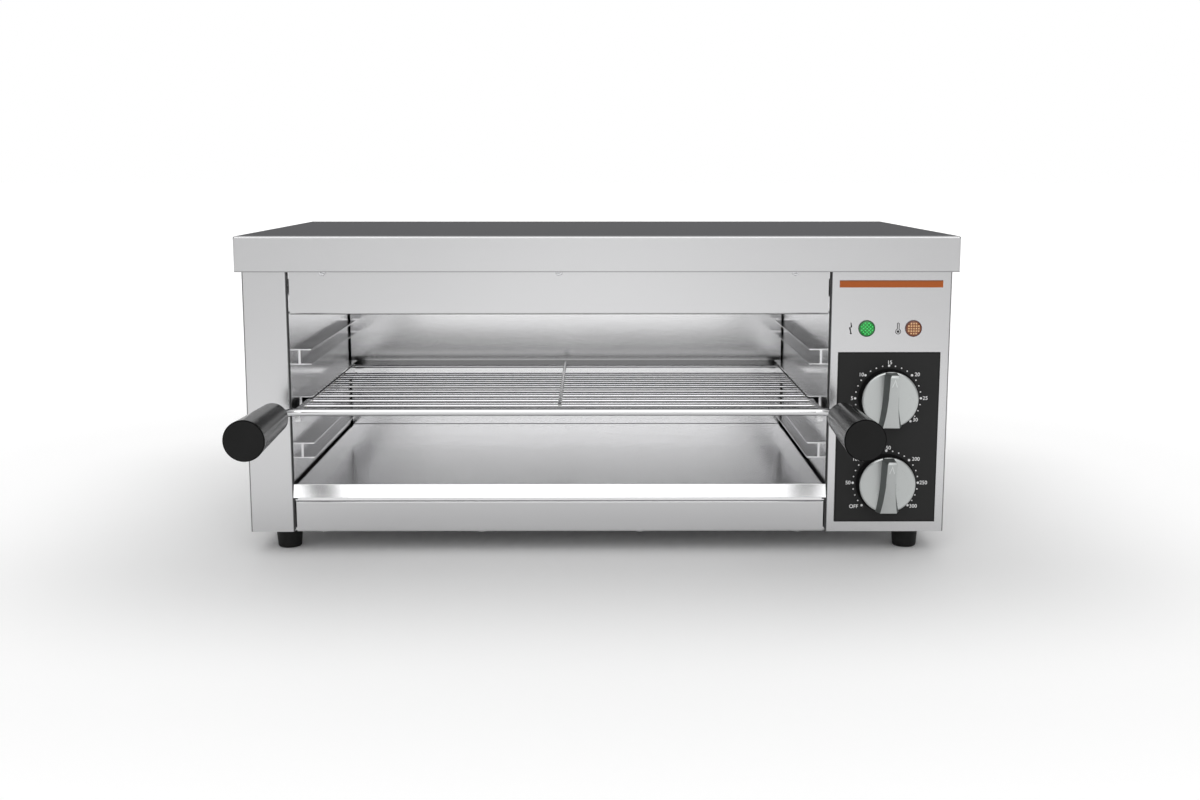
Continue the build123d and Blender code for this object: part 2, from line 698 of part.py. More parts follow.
def make_knob(z):
    place = (control_middle, skirt_front, z)
    skirt = rod("Y", place, KNOB_SKIRT, KNOB_DIAMETER / 2)
    hollow_start = (control_middle, skirt_front + KNOB_WALL, z)
    hollow_length = KNOB_SKIRT - KNOB_WALL
    hollow = rod("Y", hollow_start, hollow_length, KNOB_DIAMETER / 2 - KNOB_WALL)
    skirt -= hollow - rod("Y", hollow_start, hollow_length, hub_radius)
    bore_start = (control_middle, shaft_end, z)
    return skirt - rod("Y", bore_start, knob_back - shaft_end, SHAFT_DIAMETER / 2 + SHAFT_CLEARANCE)


def make_knob_cap(z):
    disc = rod("Y", (control_middle, cap_front, z), CAP_THICKNESS, KNOB_DIAMETER / 2)
    disc = fillet(disc.edges().sort_by(Axis.Y)[0], CAP_ROUND)
    tip = KNOB_DIAMETER / 2 - GRIP_TIP_INSET
    tail = -KNOB_DIAMETER / 2 + GRIP_TAIL_INSET
    half_tip = GRIP_TIP_WIDTH / 2
    half_waist = GRIP_WAIST_WIDTH / 2
    half_tail = GRIP_TAIL_WIDTH / 2
    with BuildSketch() as outline:
        with BuildLine():
            Line((-half_tip, tip), (half_tip, tip))
            Spline((half_tip, tip), (half_waist, 0), (half_tail, tail), tangents=[(0, -1), (0.35, -1)])
            ThreePointArc((half_tail, tail), (0, tail - GRIP_TAIL_INSET / 2), (-half_tail, tail))
            Spline((-half_tail, tail), (-half_waist, 0), (-half_tip, tip), tangents=[(0.35, 1), (0, 1)])
        make_face()
    wedge = extrude(outline.sketch, GRIP_HEIGHT)
    slope_height = GRIP_HEIGHT - GRIP_TAIL_RISE
    side = Polygon((tip, GRIP_HEIGHT), (tail - 1, GRIP_HEIGHT), (tail - 1, GRIP_HEIGHT - slope_height),
                   align=None)
    ramp = extrude(Plane.YZ * side, KNOB_DIAMETER, both=True)
    wedge -= ramp
    turned = Pos(control_middle, cap_front, z) * Rot(90, 0, 0) * wedge
    return disc + turned


def make_shaft(z):
    start = (control_middle, shaft_end, z)
    return rod("Y", start, panel_back + SHAFT_DEPTH - shaft_end, SHAFT_DIAMETER / 2)


def switch_case(z, width, height, depth):
    """A switch case on the back of the panel, with a bearing hole for its shaft."""
    sides = (control_middle - width / 2, control_middle + width / 2)
    case = block(sides, (panel_back, panel_back + depth), (z - height / 2, z + height / 2))
    case = fillet(case.edges().filter_by(Axis.Y), CASE_ROUND)
    bearing = SHAFT_DIAMETER / 2 + SHAFT_CLEARANCE
    case -= rod("Y", (control_middle, panel_back, z), SHAFT_DEPTH + SLIDE_GAP, bearing)
    for x, screw_z in switch_screw_places():
        if abs(screw_z - z) < SHAFT_DIAMETER:
            case -= rod("Y", (x, panel_back, z), SMALL_SCREW_LENGTH, small_screw_hole)
    return case


def make_timer_case():
    return switch_case(timer_z, TIMER_CASE_WIDTH, TIMER_CASE_HEIGHT, TIMER_CASE_DEPTH)


def make_thermostat_case():
    return switch_case(thermostat_z, THERMOSTAT_CASE_WIDTH, THERMOSTAT_CASE_HEIGHT, THERMOSTAT_CASE_DEPTH)


def bulb_end():
    """Where the thermostat's bulb ends, between two elements and near the right wall."""
    lines = element_places()
    return cavity_right - BULB_END_GAP, (lines[0][1] + lines[1][0]) / 2, element_z


def make_thermostat_bulb():
    x, y, z = bulb_end()
    bulb = rod("X", (x - BULB_LENGTH, y, z), BULB_LENGTH, BULB_DIAMETER / 2)
    return fillet(bulb.edges().filter_by(GeomType.CIRCLE), BULB_DIAMETER / 4)


def make_bulb_clips():
    """Rings round the bulb, each hung from the reflector by its strap."""
    end_x, y, z = bulb_end()
    outer = BULB_DIAMETER / 2 + CLIP_SHEET
    clips = []
    for x in spread(end_x - BULB_LENGTH, end_x, CLIP_WIDTH, 2):
        start_x = x - CLIP_WIDTH / 2
        ring = rod("X", (start_x, y, z), CLIP_WIDTH, outer)
        strap = block((start_x, start_x + CLIP_WIDTH), (y - CLIP_SHEET / 2, y + CLIP_SHEET / 2),
                      (z + outer - CLIP_SHEET, reflector_low))
        hole = rod("X", (start_x, y, z), CLIP_WIDTH, BULB_DIAMETER / 2 + SCREW_CLEARANCE)
        clips.append((ring + strap) - hole)
    return group(clips)


def bent_rod(corners, diameter, radius):
    """A round bar along straight runs with rounded corners."""
    path = FilletPolyline(*corners, radius=radius)
    first = Vector(*corners[1]) - Vector(*corners[0])
    return sweep(Plane(origin=corners[0], z_dir=first) * Circle(diameter / 2), path)


def make_capillary_tube():
    """The thin tube from the bulb, through the wall and into the back of the thermostat."""
    x, y, z = bulb_end()
    entry_x = control_middle - CAPILLARY_ENTRY
    case_rear = panel_back + THERMOSTAT_CASE_DEPTH
    corners = [(x, y, z), (entry_x, y, z), (entry_x, y, thermostat_z), (entry_x, case_rear, thermostat_z)]
    return bent_rod(corners, CAPILLARY_DIAMETER, CAPILLARY_BEND)


def make_internal_wiring():
    """Insulated wires between the terminals, the switches, the lamps and the elements."""
    timer_rear = panel_back + TIMER_CASE_DEPTH
    thermostat_rear = panel_back + THERMOSTAT_CASE_DEPTH
    lamp_rear = front + LAMP_BODY_LENGTH
    tail_x = cavity_right + LINER_SHEET + BUSH_LENGTH + ELEMENT_TAIL
    (first_near, first_far), (last_near, last_far) = element_places()[0], element_places()[-1]
    block_top = pan_top + TERMINAL_HEIGHT / 2
    pole_step = TERMINAL_LENGTH / TERMINAL_POLES
    block_x = (cavity_right + LINER_SHEET + body_right) / 2
    block_y = rear - TERMINAL_SETBACK
    right_x = control_middle + WIRE_SPREAD
    outer_x = right_x + WIRE_SPREAD
    step_y = timer_rear + WIRE_RUN
    feed_z = timer_z - WIRE_SPREAD
    routes = [
        [(block_x + pole_step, block_y, block_top), (block_x + pole_step, block_y, feed_z),
         (block_x + pole_step, timer_rear, feed_z)],
        [(right_x, timer_rear, timer_z), (right_x, step_y, timer_z),
         (right_x, step_y, thermostat_z), (right_x, thermostat_rear, thermostat_z)],
        [(control_middle, thermostat_rear, thermostat_z + WIRE_SPREAD),
         (control_middle, step_y, thermostat_z + WIRE_SPREAD), (control_middle, step_y, element_z),
         (control_middle, first_near, element_z), (tail_x, first_near, element_z)],
        [(tail_x, first_far, element_z), (tail_x + WIRE_RUN, first_far, element_z),
         (tail_x + WIRE_RUN, last_near, element_z), (tail_x, last_near, element_z)],
        [(tail_x, last_far, element_z), (block_x, last_far, element_z), (block_x, last_far, feed_z),
         (block_x, block_y, feed_z), (block_x, block_y, block_top)],
    ]
    for x, z in lamp_places():
        lead_y = lamp_rear + WIRE_RUN
        if x > control_middle:
            routes.append([(x, lamp_rear, z), (x, lead_y, z), (x, lead_y, timer_z),
                           (x, timer_rear, timer_z)])
    return group(bent_rod(route, WIRE_DIAMETER, WIRE_BEND) for route in routes)


def make_lamp_lens(place):
    x, z = place
    rim = rod("Y", (x, front - LAMP_RIM, z), LAMP_RIM, LAMP_DIAMETER / 2)
    dome_radius = LAMP_DIAMETER / 2 - LAMP_RIM / 2
    dome = rod("Y", (x, front - LAMP_DOME, z), LAMP_DOME, dome_radius)
    dome = fillet(dome.edges().sort_by(Axis.Y)[0], (LAMP_DOME - LAMP_RIM) * 0.8)
    return rim + dome


def make_lamp_bodies():
    radius = LAMP_BODY_DIAMETER / 2
    return group(rod("Y", (x, front, z), LAMP_BODY_LENGTH, radius) for x, z in lamp_places())


def make_terminal_block():
    x = (cavity_right + LINER_SHEET + body_right) / 2
    y = rear - TERMINAL_SETBACK
    sides = (x - TERMINAL_LENGTH / 2, x + TERMINAL_LENGTH / 2)
    ends = (y - TERMINAL_DEPTH / 2, y + TERMINAL_DEPTH / 2)
    body = block(sides, ends, (pan_top, pan_top + TERMINAL_HEIGHT))
    step = TERMINAL_LENGTH / TERMINAL_POLES
    for pole in range(TERMINAL_POLES):
        pole_x = x - TERMINAL_LENGTH / 2 + step * (pole + 0.5)
        well = (pole_x, y, pan_top + TERMINAL_HEIGHT / 2)
        body -= rod("Z", well, TERMINAL_HEIGHT / 2, step / 4)
        if pole:
            wall = (pole_x - step / 2, y, pan_top + TERMINAL_HEIGHT)
            body -= Pos(*wall) * Box(step / 8, TERMINAL_DEPTH, TERMINAL_HEIGHT / 3)
    return body


def make_cable_gland():
    tail = casing_inner_rear - GLAND_NUT_LENGTH - GLAND_COLLAR
    body = rod("Y", (gland_x, tail, gland_z), rear - tail, GLAND_THREAD_DIAMETER / 2)
    body += hexagon((gland_x, rear, gland_z), GLAND_ACROSS_FLATS, GLAND_COLLAR)
    cap_start = rear + GLAND_COLLAR
    cap = rod("Y", (gland_x, cap_start, gland_z), GLAND_REACH - GLAND_COLLAR, GLAND_ACROSS_FLATS * 0.45)
    cap = fillet(cap.edges().sort_by(Axis.Y)[-1], GLAND_COLLAR / 3)
    body += cap
    return body - rod("Y", (gland_x, tail, gland_z), rear + GLAND_REACH - tail, GLAND_BORE / 2)


def make_gland_nut():
    start = (gland_x, casing_inner_rear - GLAND_NUT_LENGTH, gland_z)
    nut = hexagon(start, GLAND_ACROSS_FLATS, GLAND_NUT_LENGTH)
    return nut - rod("Y", start, GLAND_NUT_LENGTH, GLAND_THREAD_DIAMETER / 2 + SCREW_CLEARANCE)


def make_rubber_feet():
    feet = []
    for x in foot_x:
        for y in foot_y:
            outline = [(0, 0), (FOOT_BOTTOM_DIAMETER / 2, 0), (FOOT_TOP_DIAMETER / 2, FOOT_HEIGHT),
                       (0, FOOT_HEIGHT)]
            foot = revolve(Plane.XZ * Polygon(*outline, align=None), Axis.Z)
            foot = fillet(foot.edges().filter_by(GeomType.CIRCLE).sort_by(Axis.Z)[0], FOOT_ROUND)
            foot -= rod("Z", (0, 0, 0), FOOT_RECESS_DEPTH, FOOT_RECESS_DIAMETER / 2)
            foot -= rod("Z", (0, 0, 0), FOOT_HEIGHT, FOOT_SCREW_DIAMETER / 2 + SCREW_CLEARANCE)
            feet.append(Pos(x, y, 0) * foot)
    return group(feet)


def make_foot_screws():
    head_height = FOOT_RECESS_DEPTH / 2
    length = pan_top + FOOT_NUT_HEIGHT + SCREW_CLEARANCE - FOOT_RECESS_DEPTH
    sizes = (FOOT_SCREW_DIAMETER, FOOT_SCREW_HEAD, length, head_height)
    return group(screw("Z", (x, y, FOOT_RECESS_DEPTH), 1, *sizes) for x in foot_x for y in foot_y)


def make_foot_nuts():
    nuts = []
    for x in foot_x:
        for y in foot_y:
            nut = extrude(RegularPolygon(FOOT_NUT / 2, 6, major_radius=False), FOOT_NUT_HEIGHT)
            nut -= Cylinder(FOOT_SCREW_DIAMETER / 2 + SCREW_CLEARANCE, 3 * FOOT_NUT_HEIGHT)
            nuts.append(Pos(x, y, pan_top) * nut)
    return group(nuts)


def make_fascia_screws():
    head = SMALL_SCREW_HEAD
    return group(screw("Y", (x, front, z), 1, SMALL_SCREW_DIAMETER, head, SMALL_SCREW_LENGTH, head / 4)
                 for x, z in fascia_screw_places())


def make_base_screws():
    head = BASE_SCREW_HEAD
    return group(screw("Z", (x, y, base_low), 1, BASE_SCREW_DIAMETER, head, BASE_SCREW_LENGTH, head / 4)
                 for x, y in base_screw_places())


def make_rear_screws():
    head = SMALL_SCREW_HEAD
    return group(screw("Y", (x, rear, z), -1, SMALL_SCREW_DIAMETER, head, SMALL_SCREW_LENGTH, head / 4)
                 for x, z in rear_screw_places())


def make_switch_screws():
    head = SMALL_SCREW_HEAD
    length = SMALL_SCREW_LENGTH
    return group(screw("Y", (x, plate_face, z), 1, SMALL_SCREW_DIAMETER, head, length, head / 4)
                 for x, z in switch_screw_places())


def build():
    """Every piece of the toaster under its own name."""
    pieces = {
        "top_cover": make_top_cover(),
        "left_side_panel": make_left_side_panel(),
        "control_casing": make_control_casing(),
        "rear_panel": make_rear_panel(),
        "base_pan": make_base_pan(),
        "upper_fascia": make_upper_fascia(),
        "lower_fascia": make_lower_fascia(),
        "left_liner": make_left_liner(),
        "right_liner": make_right_liner(),
        "rear_liner": make_rear_liner(),
        "cavity_floor": make_cavity_floor(),
        "reflector": make_reflector(),
        "insulation_mat": make_insulation_mat(),
        "rack_front_bar": make_rack_front_bar(),
        "rack_side_bars": make_rack_side_bars(),
        "rack_rear_rod": make_rack_rear_rod(),
        "rack_cross_rods": make_rack_cross_rods(),
        "rack_centre_rod": make_rack_centre_rod(),
        "left_handle": make_handle(handle_x[0]),
        "right_handle": make_handle(handle_x[1]),
        "crumb_tray": make_crumb_tray(),
        "element_hangers": make_element_hangers(),
        "element_bushes": make_element_bushes(),
        "dial_plate": make_dial_plate(),
        "trim_stripe": make_trim_stripe(),
        "timer_knob": make_knob(timer_z),
        "timer_knob_cap": make_knob_cap(timer_z),
        "timer_shaft": make_shaft(timer_z),
        "timer_case": make_timer_case(),
        "thermostat_knob": make_knob(thermostat_z),
        "thermostat_knob_cap": make_knob_cap(thermostat_z),
        "thermostat_shaft": make_shaft(thermostat_z),
        "thermostat_case": make_thermostat_case(),
        "thermostat_bulb": make_thermostat_bulb(),
        "bulb_clips": make_bulb_clips(),
        "capillary_tube": make_capillary_tube(),
        "internal_wiring": make_internal_wiring(),
        "power_lamp_lens": make_lamp_lens(lamp_places()[0]),
        "heating_lamp_lens": make_lamp_lens(lamp_places()[1]),
        "lamp_bodies": make_lamp_bodies(),
        "terminal_block": make_terminal_block(),
        "cable_gland": make_cable_gland(),
        "gland_nut": make_gland_nut(),
        "rubber_feet": make_rubber_feet(),
        "foot_screws": make_foot_screws(),
        "foot_nuts": make_foot_nuts(),
        "fascia_screws": make_fascia_screws(),
        "base_screws": make_base_screws(),
        "rear_screws": make_rear_screws(),
        "switch_screws": make_switch_screws(),
    }
    for number in range(RAIL_COUNT):
        pieces[f"left_rail_{number + 1}"] = make_rail(number, cavity_left, 1)
        pieces[f"right_rail_{number + 1}"] = make_rail(number, cavity_right, -1)
    for number, pair in enumerate(element_places()):
        pieces[f"heating_element_{number + 1}"] = make_heating_element(pair)
    return pieces


os.makedirs("parts", exist_ok=True)
for name, shape in build().items():
    export_step(shape, f"parts/{name}.step")
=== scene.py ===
import math

import bmesh
import bpy
from mathutils import Matrix, Vector


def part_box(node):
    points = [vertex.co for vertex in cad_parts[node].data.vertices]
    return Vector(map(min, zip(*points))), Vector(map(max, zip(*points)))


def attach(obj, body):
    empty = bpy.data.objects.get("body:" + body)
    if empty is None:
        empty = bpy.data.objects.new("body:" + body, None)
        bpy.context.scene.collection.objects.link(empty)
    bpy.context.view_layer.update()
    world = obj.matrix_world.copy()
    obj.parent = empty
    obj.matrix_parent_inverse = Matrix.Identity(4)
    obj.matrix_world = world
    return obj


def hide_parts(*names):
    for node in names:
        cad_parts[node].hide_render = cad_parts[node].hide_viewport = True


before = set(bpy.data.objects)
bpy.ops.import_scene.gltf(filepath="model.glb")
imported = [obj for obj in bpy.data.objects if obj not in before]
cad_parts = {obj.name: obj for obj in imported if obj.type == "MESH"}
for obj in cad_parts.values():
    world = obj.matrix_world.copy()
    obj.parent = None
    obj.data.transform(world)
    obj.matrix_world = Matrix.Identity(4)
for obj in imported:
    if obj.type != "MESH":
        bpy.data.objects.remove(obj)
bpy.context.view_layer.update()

# Camera
# It stands in front of the cover, a little above the top and a hair left of the middle, and looks
# down by nine degrees. Its place is given from the cover's front edge and top.
CAMERA_LEFT = 0.00307
CAMERA_DISTANCE = 1.19986
CAMERA_RISE = 0.0557
CAMERA_PITCH = 9.201
CAMERA_TURN = 0.256
CAMERA_LENS = 42.84

cover_low, cover_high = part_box("top_cover")


def in_scene(name, data):
    """A new object in the scene."""
    made = bpy.data.objects.new(name, data)
    bpy.context.scene.collection.objects.link(made)
    return made


camera = in_scene("camera", bpy.data.cameras.new("camera"))
camera.location = (-CAMERA_LEFT, cover_low.y - CAMERA_DISTANCE, cover_high.z + CAMERA_RISE)
camera.rotation_euler = (math.radians(90 - CAMERA_PITCH), 0, -math.radians(CAMERA_TURN))
camera.data.lens = CAMERA_LENS
camera.data.sensor_width = 36.0
bpy.context.scene.camera = camera
bpy.context.scene.view_settings.view_transform = "Standard"


# Floor and light
# A matt white studio floor under a pale sky, darker to the sides, with one broad soft light in front
# and above and a fainter one behind. The floor glows a little where it is seen or mirrored. Close to the
# object its colour and glow are painted darker (painted shade), and what steel mirrors of it in front is
# painted darker to the sides (a painted reflection).
FLOOR_SIZE = 60.0
FLOOR_WHITE = "#FFFFFF"
FLOOR_NEAR_SHADE_SHARE = 0.97
FLOOR_FAR = 0.32
NEAR_GLOW = 0.19
FAR_GLOW = 0.21
POOL_START = 0.7
POOL_END = 1.3
POOL_WIDTH = (0.05, 0.95)
POOL_FALL = 0.85
SKY_STRENGTH = 0.70
SKY_SIDE_SHARE = 0.50
SKY_SIDES = (0.3, 0.9)
FRONT_TO_BACK = (-0.01, 0.01)
LIGHT_STRENGTH = 1.30
BACK_LIGHT_SHARE = 0.45
LIGHT_WINDOW = (24.0, 56.0, 36.0, 7.0)
GLOW_STRENGTH = 0.40
GLOW_WINDOW = (0.0, 26.0, 12.0, 11.0)


def paint(text):
    """A hex sRGB colour as linear red, green, blue and alpha."""
    parts = [int(text[place:place + 2], 16) / 255 for place in (1, 3, 5)]
    linear = [part / 12.92 if part <= 0.04045 else ((part + 0.055) / 1.055) ** 2.4 for part in parts]
    return linear + [1.0]


def add(tree, kind, inputs=None, **settings):
    """Adds a node to a tree, with its settings and its input values or links."""
    made = tree.nodes.new(kind)
    for name, value in settings.items():
        setattr(made, name, value)
    for name, value in (inputs or {}).items():
        if isinstance(value, bpy.types.NodeSocket):
            tree.links.new(value, made.inputs[name])
        else:
            made.inputs[name].default_value = value
    return made


def ramp(tree, value, start, end, low=0.0, high=1.0):
    """A smooth step from low at start to high at end."""
    inputs = {"Value": value, "From Min": start, "From Max": end, "To Min": low, "To Max": high}
    return add(tree, "ShaderNodeMapRange", inputs, interpolation_type="SMOOTHSTEP").outputs["Result"]


def combine(tree, operation, *values):
    """Values or links taken together by one operation, from left to right."""
    result = values[0]
    for value in values[1:]:
        result = add(tree, "ShaderNodeMath", {0: result, 1: value}, operation=operation).outputs[0]
    return result


def material(name, colour, roughness, metallic=0.0, specular=0.5, **surface):
    """A material with one Principled shader, and that shader."""
    made = bpy.data.materials.new(name)
    made.use_nodes = True
    shader = made.node_tree.nodes["Principled BSDF"]
    values = {"Base Color": paint(colour), "Roughness": roughness, "Metallic": metallic,
              "Specular IOR Level": specular}
    values.update({key.replace("_", " "): value for key, value in surface.items()})
    for key, value in values.items():
        shader.inputs[key].default_value = value
    return made, shader


world = bpy.data.worlds.new("studio")
bpy.context.scene.world = world
world.use_nodes = True
sky = world.node_tree
sky.nodes.clear()
towards = add(sky, "ShaderNodeTexCoord").outputs["Generated"]
towards = add(sky, "ShaderNodeSeparateXYZ", {0: towards}).outputs
elevation = add(sky, "ShaderNodeMath", {0: towards["Z"]}, operation="ARCSINE").outputs[0]
side = add(sky, "ShaderNodeMath", {0: towards["X"]}, operation="ABSOLUTE").outputs[0]
ahead = add(sky, "ShaderNodeMath", {0: towards["Y"]}, operation="ABSOLUTE").outputs[0]
width = combine(sky, "ARCTAN2", side, ahead)


def window(lowest, highest, half_width, edge):
    """A soft-edged window of light between two elevations, in front and behind; angles in degrees."""
    lowest, highest, half_width, edge = (math.radians(angle) for angle in (lowest, highest, half_width, edge))
    return combine(sky, "MULTIPLY", ramp(sky, elevation, lowest - edge, lowest + edge),
                   ramp(sky, elevation, highest + edge, highest - edge),
                   ramp(sky, width, half_width + edge, half_width - edge))


light_share = ramp(sky, towards["Y"], *FRONT_TO_BACK, LIGHT_STRENGTH, LIGHT_STRENGTH * BACK_LIGHT_SHARE)
patch = combine(sky, "MULTIPLY", window(*LIGHT_WINDOW), light_share)
glow_share = ramp(sky, towards["Y"], *FRONT_TO_BACK, GLOW_STRENGTH, 0.0)
front_glow = combine(sky, "MULTIPLY", window(*GLOW_WINDOW), glow_share)
open_sky = ramp(sky, side, *SKY_SIDES, SKY_STRENGTH, SKY_STRENGTH * SKY_SIDE_SHARE)
light = combine(sky, "ADD", patch, front_glow, open_sky)
lit = add(sky, "ShaderNodeBackground", {"Color": paint("#FFFFFF"), "Strength": light})
plain = add(sky, "ShaderNodeBackground", {"Color": paint("#FFFFFF"), "Strength": 1.0})
path = add(sky, "ShaderNodeLightPath").outputs
shown = add(sky, "ShaderNodeMixShader", {0: path["Is Camera Ray"], 1: lit.outputs[0], 2: plain.outputs[0]})
add(sky, "ShaderNodeOutputWorld", {"Surface": shown.outputs[0]})

floor_mesh = bpy.data.meshes.new("floor")
floor = in_scene("floor", floor_mesh)
half_floor = FLOOR_SIZE / 2
corners = [(-half_floor, -half_floor, 0), (half_floor, -half_floor, 0),
           (half_floor, half_floor, 0), (-half_floor, half_floor, 0)]
floor_mesh.from_pydata(corners, [], [(0, 1, 2, 3)])
floor_paint, floor_shader = material("matt_white_floor", FLOOR_WHITE, 1.0, specular=0.0)
ground = floor_paint.node_tree
cover_middle = (cover_low + cover_high) / 2
cover_half = (cover_high - cover_low) / 2
floor_place = add(ground, "ShaderNodeTexCoord").outputs["Object"]
spot = add(ground, "ShaderNodeVectorMath", {
    0: floor_place, 1: (0, cover_middle.y, 0)}, operation="SUBTRACT")
beside = spot.outputs[0]
for operation, other in (("ABSOLUTE", (0, 0, 0)), ("SUBTRACT", (cover_half.x, cover_half.y, 0)),
                         ("MAXIMUM", (0, 0, 0))):
    beside = add(ground, "ShaderNodeVectorMath", {0: beside, 1: other}, operation=operation).outputs[0]
away = add(ground, "ShaderNodeVectorMath", {0: beside}, operation="LENGTH").outputs["Value"]
# Painted shade: the floor's colour is a little darker close to the object.
floor_shade_share = ramp(ground, away, 0.0, FLOOR_FAR, FLOOR_NEAR_SHADE_SHARE, 1.0)
floor_tone = add(ground, "ShaderNodeVectorMath", {
    0: paint(FLOOR_WHITE)[:3], "Scale": floor_shade_share}, operation="SCALE")
ground.links.new(floor_tone.outputs[0], floor_shader.inputs["Base Color"])
path = add(ground, "ShaderNodeLightPath").outputs
seen = combine(ground, "MAXIMUM", path["Is Camera Ray"], path["Is Glossy Ray"],
               path["Is Transmission Ray"])
# Painted shade: the glow is weaker close to the object.
near_glow = ramp(ground, away, 0.0, FLOOR_FAR, 0.0, NEAR_GLOW)
far_glow = ramp(ground, away, FLOOR_FAR, 3 * FLOOR_FAR, 0.0, FAR_GLOW)
spot = add(ground, "ShaderNodeSeparateXYZ", {0: spot.outputs[0]}).outputs
# Painted reflection: in front, the floor that steel mirrors glows less to the sides.
in_front = ramp(ground, spot["Y"], -POOL_START, -POOL_END)
spot_side = add(ground, "ShaderNodeMath", {0: spot["X"]}, operation="ABSOLUTE").outputs[0]
off_middle = ramp(ground, spot_side, *POOL_WIDTH)
mirrored_fall = combine(ground, "MULTIPLY", in_front, off_middle, POOL_FALL, path["Is Glossy Ray"])
painted_reflection_share = combine(ground, "SUBTRACT", 1.0, mirrored_fall)
glow = combine(ground, "MULTIPLY", combine(ground, "ADD", near_glow, far_glow), painted_reflection_share, seen)
floor_shader.inputs["Emission Color"].default_value = paint(FLOOR_WHITE)
ground.links.new(glow, floor_shader.inputs["Emission Strength"])
floor_mesh.materials.append(floor_paint)


# Casing
# The two side columns, the fascias, the back and the base are folded from satin stainless sheet. A
# satin belt leaves short fine scratches along X, which blur what the sheet mirrors and soften the light;
# on the outer bends they stand upright. The front bends are painted a much darker grey: painted shade.
CASING_COLOUR = "#CDCDCE"
CASING_ROUGHNESS = 0.21
BEND_SHADE_COLOUR = "#727273"
BEND_FACING = (0.25, 0.98)
BEND_FRONT = 0.1
SCRATCH_LENGTH = 0.030
SCRATCH_WIDTH = 0.0004
BELT_GRAIN = (SCRATCH_LENGTH, SCRATCH_WIDTH, SCRATCH_WIDTH)
BEND_GRAIN = (SCRATCH_WIDTH, SCRATCH_WIDTH, SCRATCH_LENGTH)
PATTERN_SPAN = (0.5, 1.5)
METAL_TONE = (0.98, 1.02)
SCRATCH_DEPTH = 0.0002


def brushed(name, colour, roughness, spread, grain, cloud=0.25, depth=0.04):
    """Bare rolled or brushed metal: the scratches follow the grain's longest direction."""
    made, shader = material(name, colour, roughness, 1.0)
    tree = made.node_tree
    place = add(tree, "ShaderNodeTexCoord").outputs["Object"]
    stretched = add(tree, "ShaderNodeMapping", {"Vector": place, "Scale": [1 / size for size in grain]})
    scratches = add(tree, "ShaderNodeTexNoise", {"Vector": stretched.outputs[0], "Scale": 1.0, "Detail": 3.0,
                                                 "Roughness": 0.7}).outputs["Fac"]
    clouds = add(tree, "ShaderNodeTexNoise", {"Vector": place, "Scale": 1 / cloud, "Detail": 2.0})
    both = combine(tree, "ADD", scratches, clouds.outputs["Fac"])
    gloss = ramp(tree, both, *PATTERN_SPAN, roughness - spread, roughness + spread)
    tree.links.new(gloss, shader.inputs["Roughness"])
    shade = add(tree, "ShaderNodeVectorMath", {
        0: paint(colour)[:3], "Scale": ramp(tree, both, *PATTERN_SPAN, *METAL_TONE)}, operation="SCALE")
    tree.links.new(shade.outputs[0], shader.inputs["Base Color"])
    bump = add(tree, "ShaderNodeBump", {"Height": scratches, "Strength": depth, "Distance": SCRATCH_DEPTH})
    tree.links.new(bump.outputs[0], shader.inputs["Normal"])
    return made


def finish_nodes(finish, *names):
    """Gives the named nodes of the frame one material."""
    for name in names:
        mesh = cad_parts[name].data
        mesh.materials.clear()
        mesh.materials.append(finish)


def finish_faces(mesh, finishes, choose):
    """Adds finishes to a mesh, and gives each face the one whose number choose returns."""
    for finish in finishes:
        mesh.materials.append(finish)
    for face in mesh.polygons:
        face.material_index = int(choose(face))


satin_steel = brushed("satin_stainless_sheet", CASING_COLOUR, CASING_ROUGHNESS, 0.02, BELT_GRAIN, depth=0.01)
# Painted shade: the bend faces take a much darker grey, for dark lines along the front corners.
bend_painted_shade = brushed("satin_stainless_bend_painted_shade", BEND_SHADE_COLOUR, CASING_ROUGHNESS, 0.02, BEND_GRAIN, depth=0.01)
finish_nodes(satin_steel, "left_side_panel", "control_casing", "upper_fascia", "lower_fascia", "rear_panel",
             "base_pan")
# Faces on the front bends get the painted shade.
for name in ("left_side_panel", "control_casing"):
    finish_faces(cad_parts[name].data, [bend_painted_shade], lambda face: (
        BEND_FACING[0] < abs(face.normal.x) < BEND_FACING[1] and face.normal.y < -BEND_FRONT))


# Cover
# One deep-drawn lid of the same satin sheet. Its top is coated in matt graphite enamel, fired on, which
# is fine-grained and hardly glossy; the skirt and the rounded edge stay bare steel. The skirt's lowest edge
# is painted darker: painted shade.
COVER_COLOUR = "#CDCDCE"
COVER_ROUGHNESS = 0.24
TOP_COLOUR = "#666668"
ENAMEL_GRAIN = 0.0009
SKIRT_LINE = 0.0014
SKIRT_LINE_SHADE = 0.45
FLAT = 0.999
SKIN = 0.0001
COARSE = 20.0
MOULD_SPAN = (0.6, 1.4)


def moulded(name, colour, roughness, grain, depth, tone=0.04, **surface):
    """A coated or moulded surface: fine grain in relief, with a slight change of tone and gloss."""
    made, shader = material(name, colour, roughness, **surface)
    tree = made.node_tree
    place = add(tree, "ShaderNodeTexCoord").outputs["Object"]
    fine = add(tree, "ShaderNodeTexNoise", {"Vector": place, "Scale": 1 / grain, "Detail": 2.0})
    broad = add(tree, "ShaderNodeTexNoise", {"Vector": place, "Scale": 1 / COARSE / grain, "Detail": 3.0})
    both = combine(tree, "ADD", fine.outputs["Fac"], broad.outputs["Fac"])
    shade = add(tree, "ShaderNodeVectorMath", {
        0: paint(colour)[:3], "Scale": ramp(tree, both, *MOULD_SPAN, 1 - tone, 1 + tone)}, operation="SCALE")
    tree.links.new(shade.outputs[0], shader.inputs["Base Color"])
    gloss = ramp(tree, both, *MOULD_SPAN, roughness * 0.9, min(roughness * 1.1, 1.0))
    tree.links.new(gloss, shader.inputs["Roughness"])
    bump = add(tree, "ShaderNodeBump", {
        "Height": fine.outputs["Fac"], "Strength": depth, "Distance": grain / 4})
    tree.links.new(bump.outputs[0], shader.inputs["Normal"])
    return made


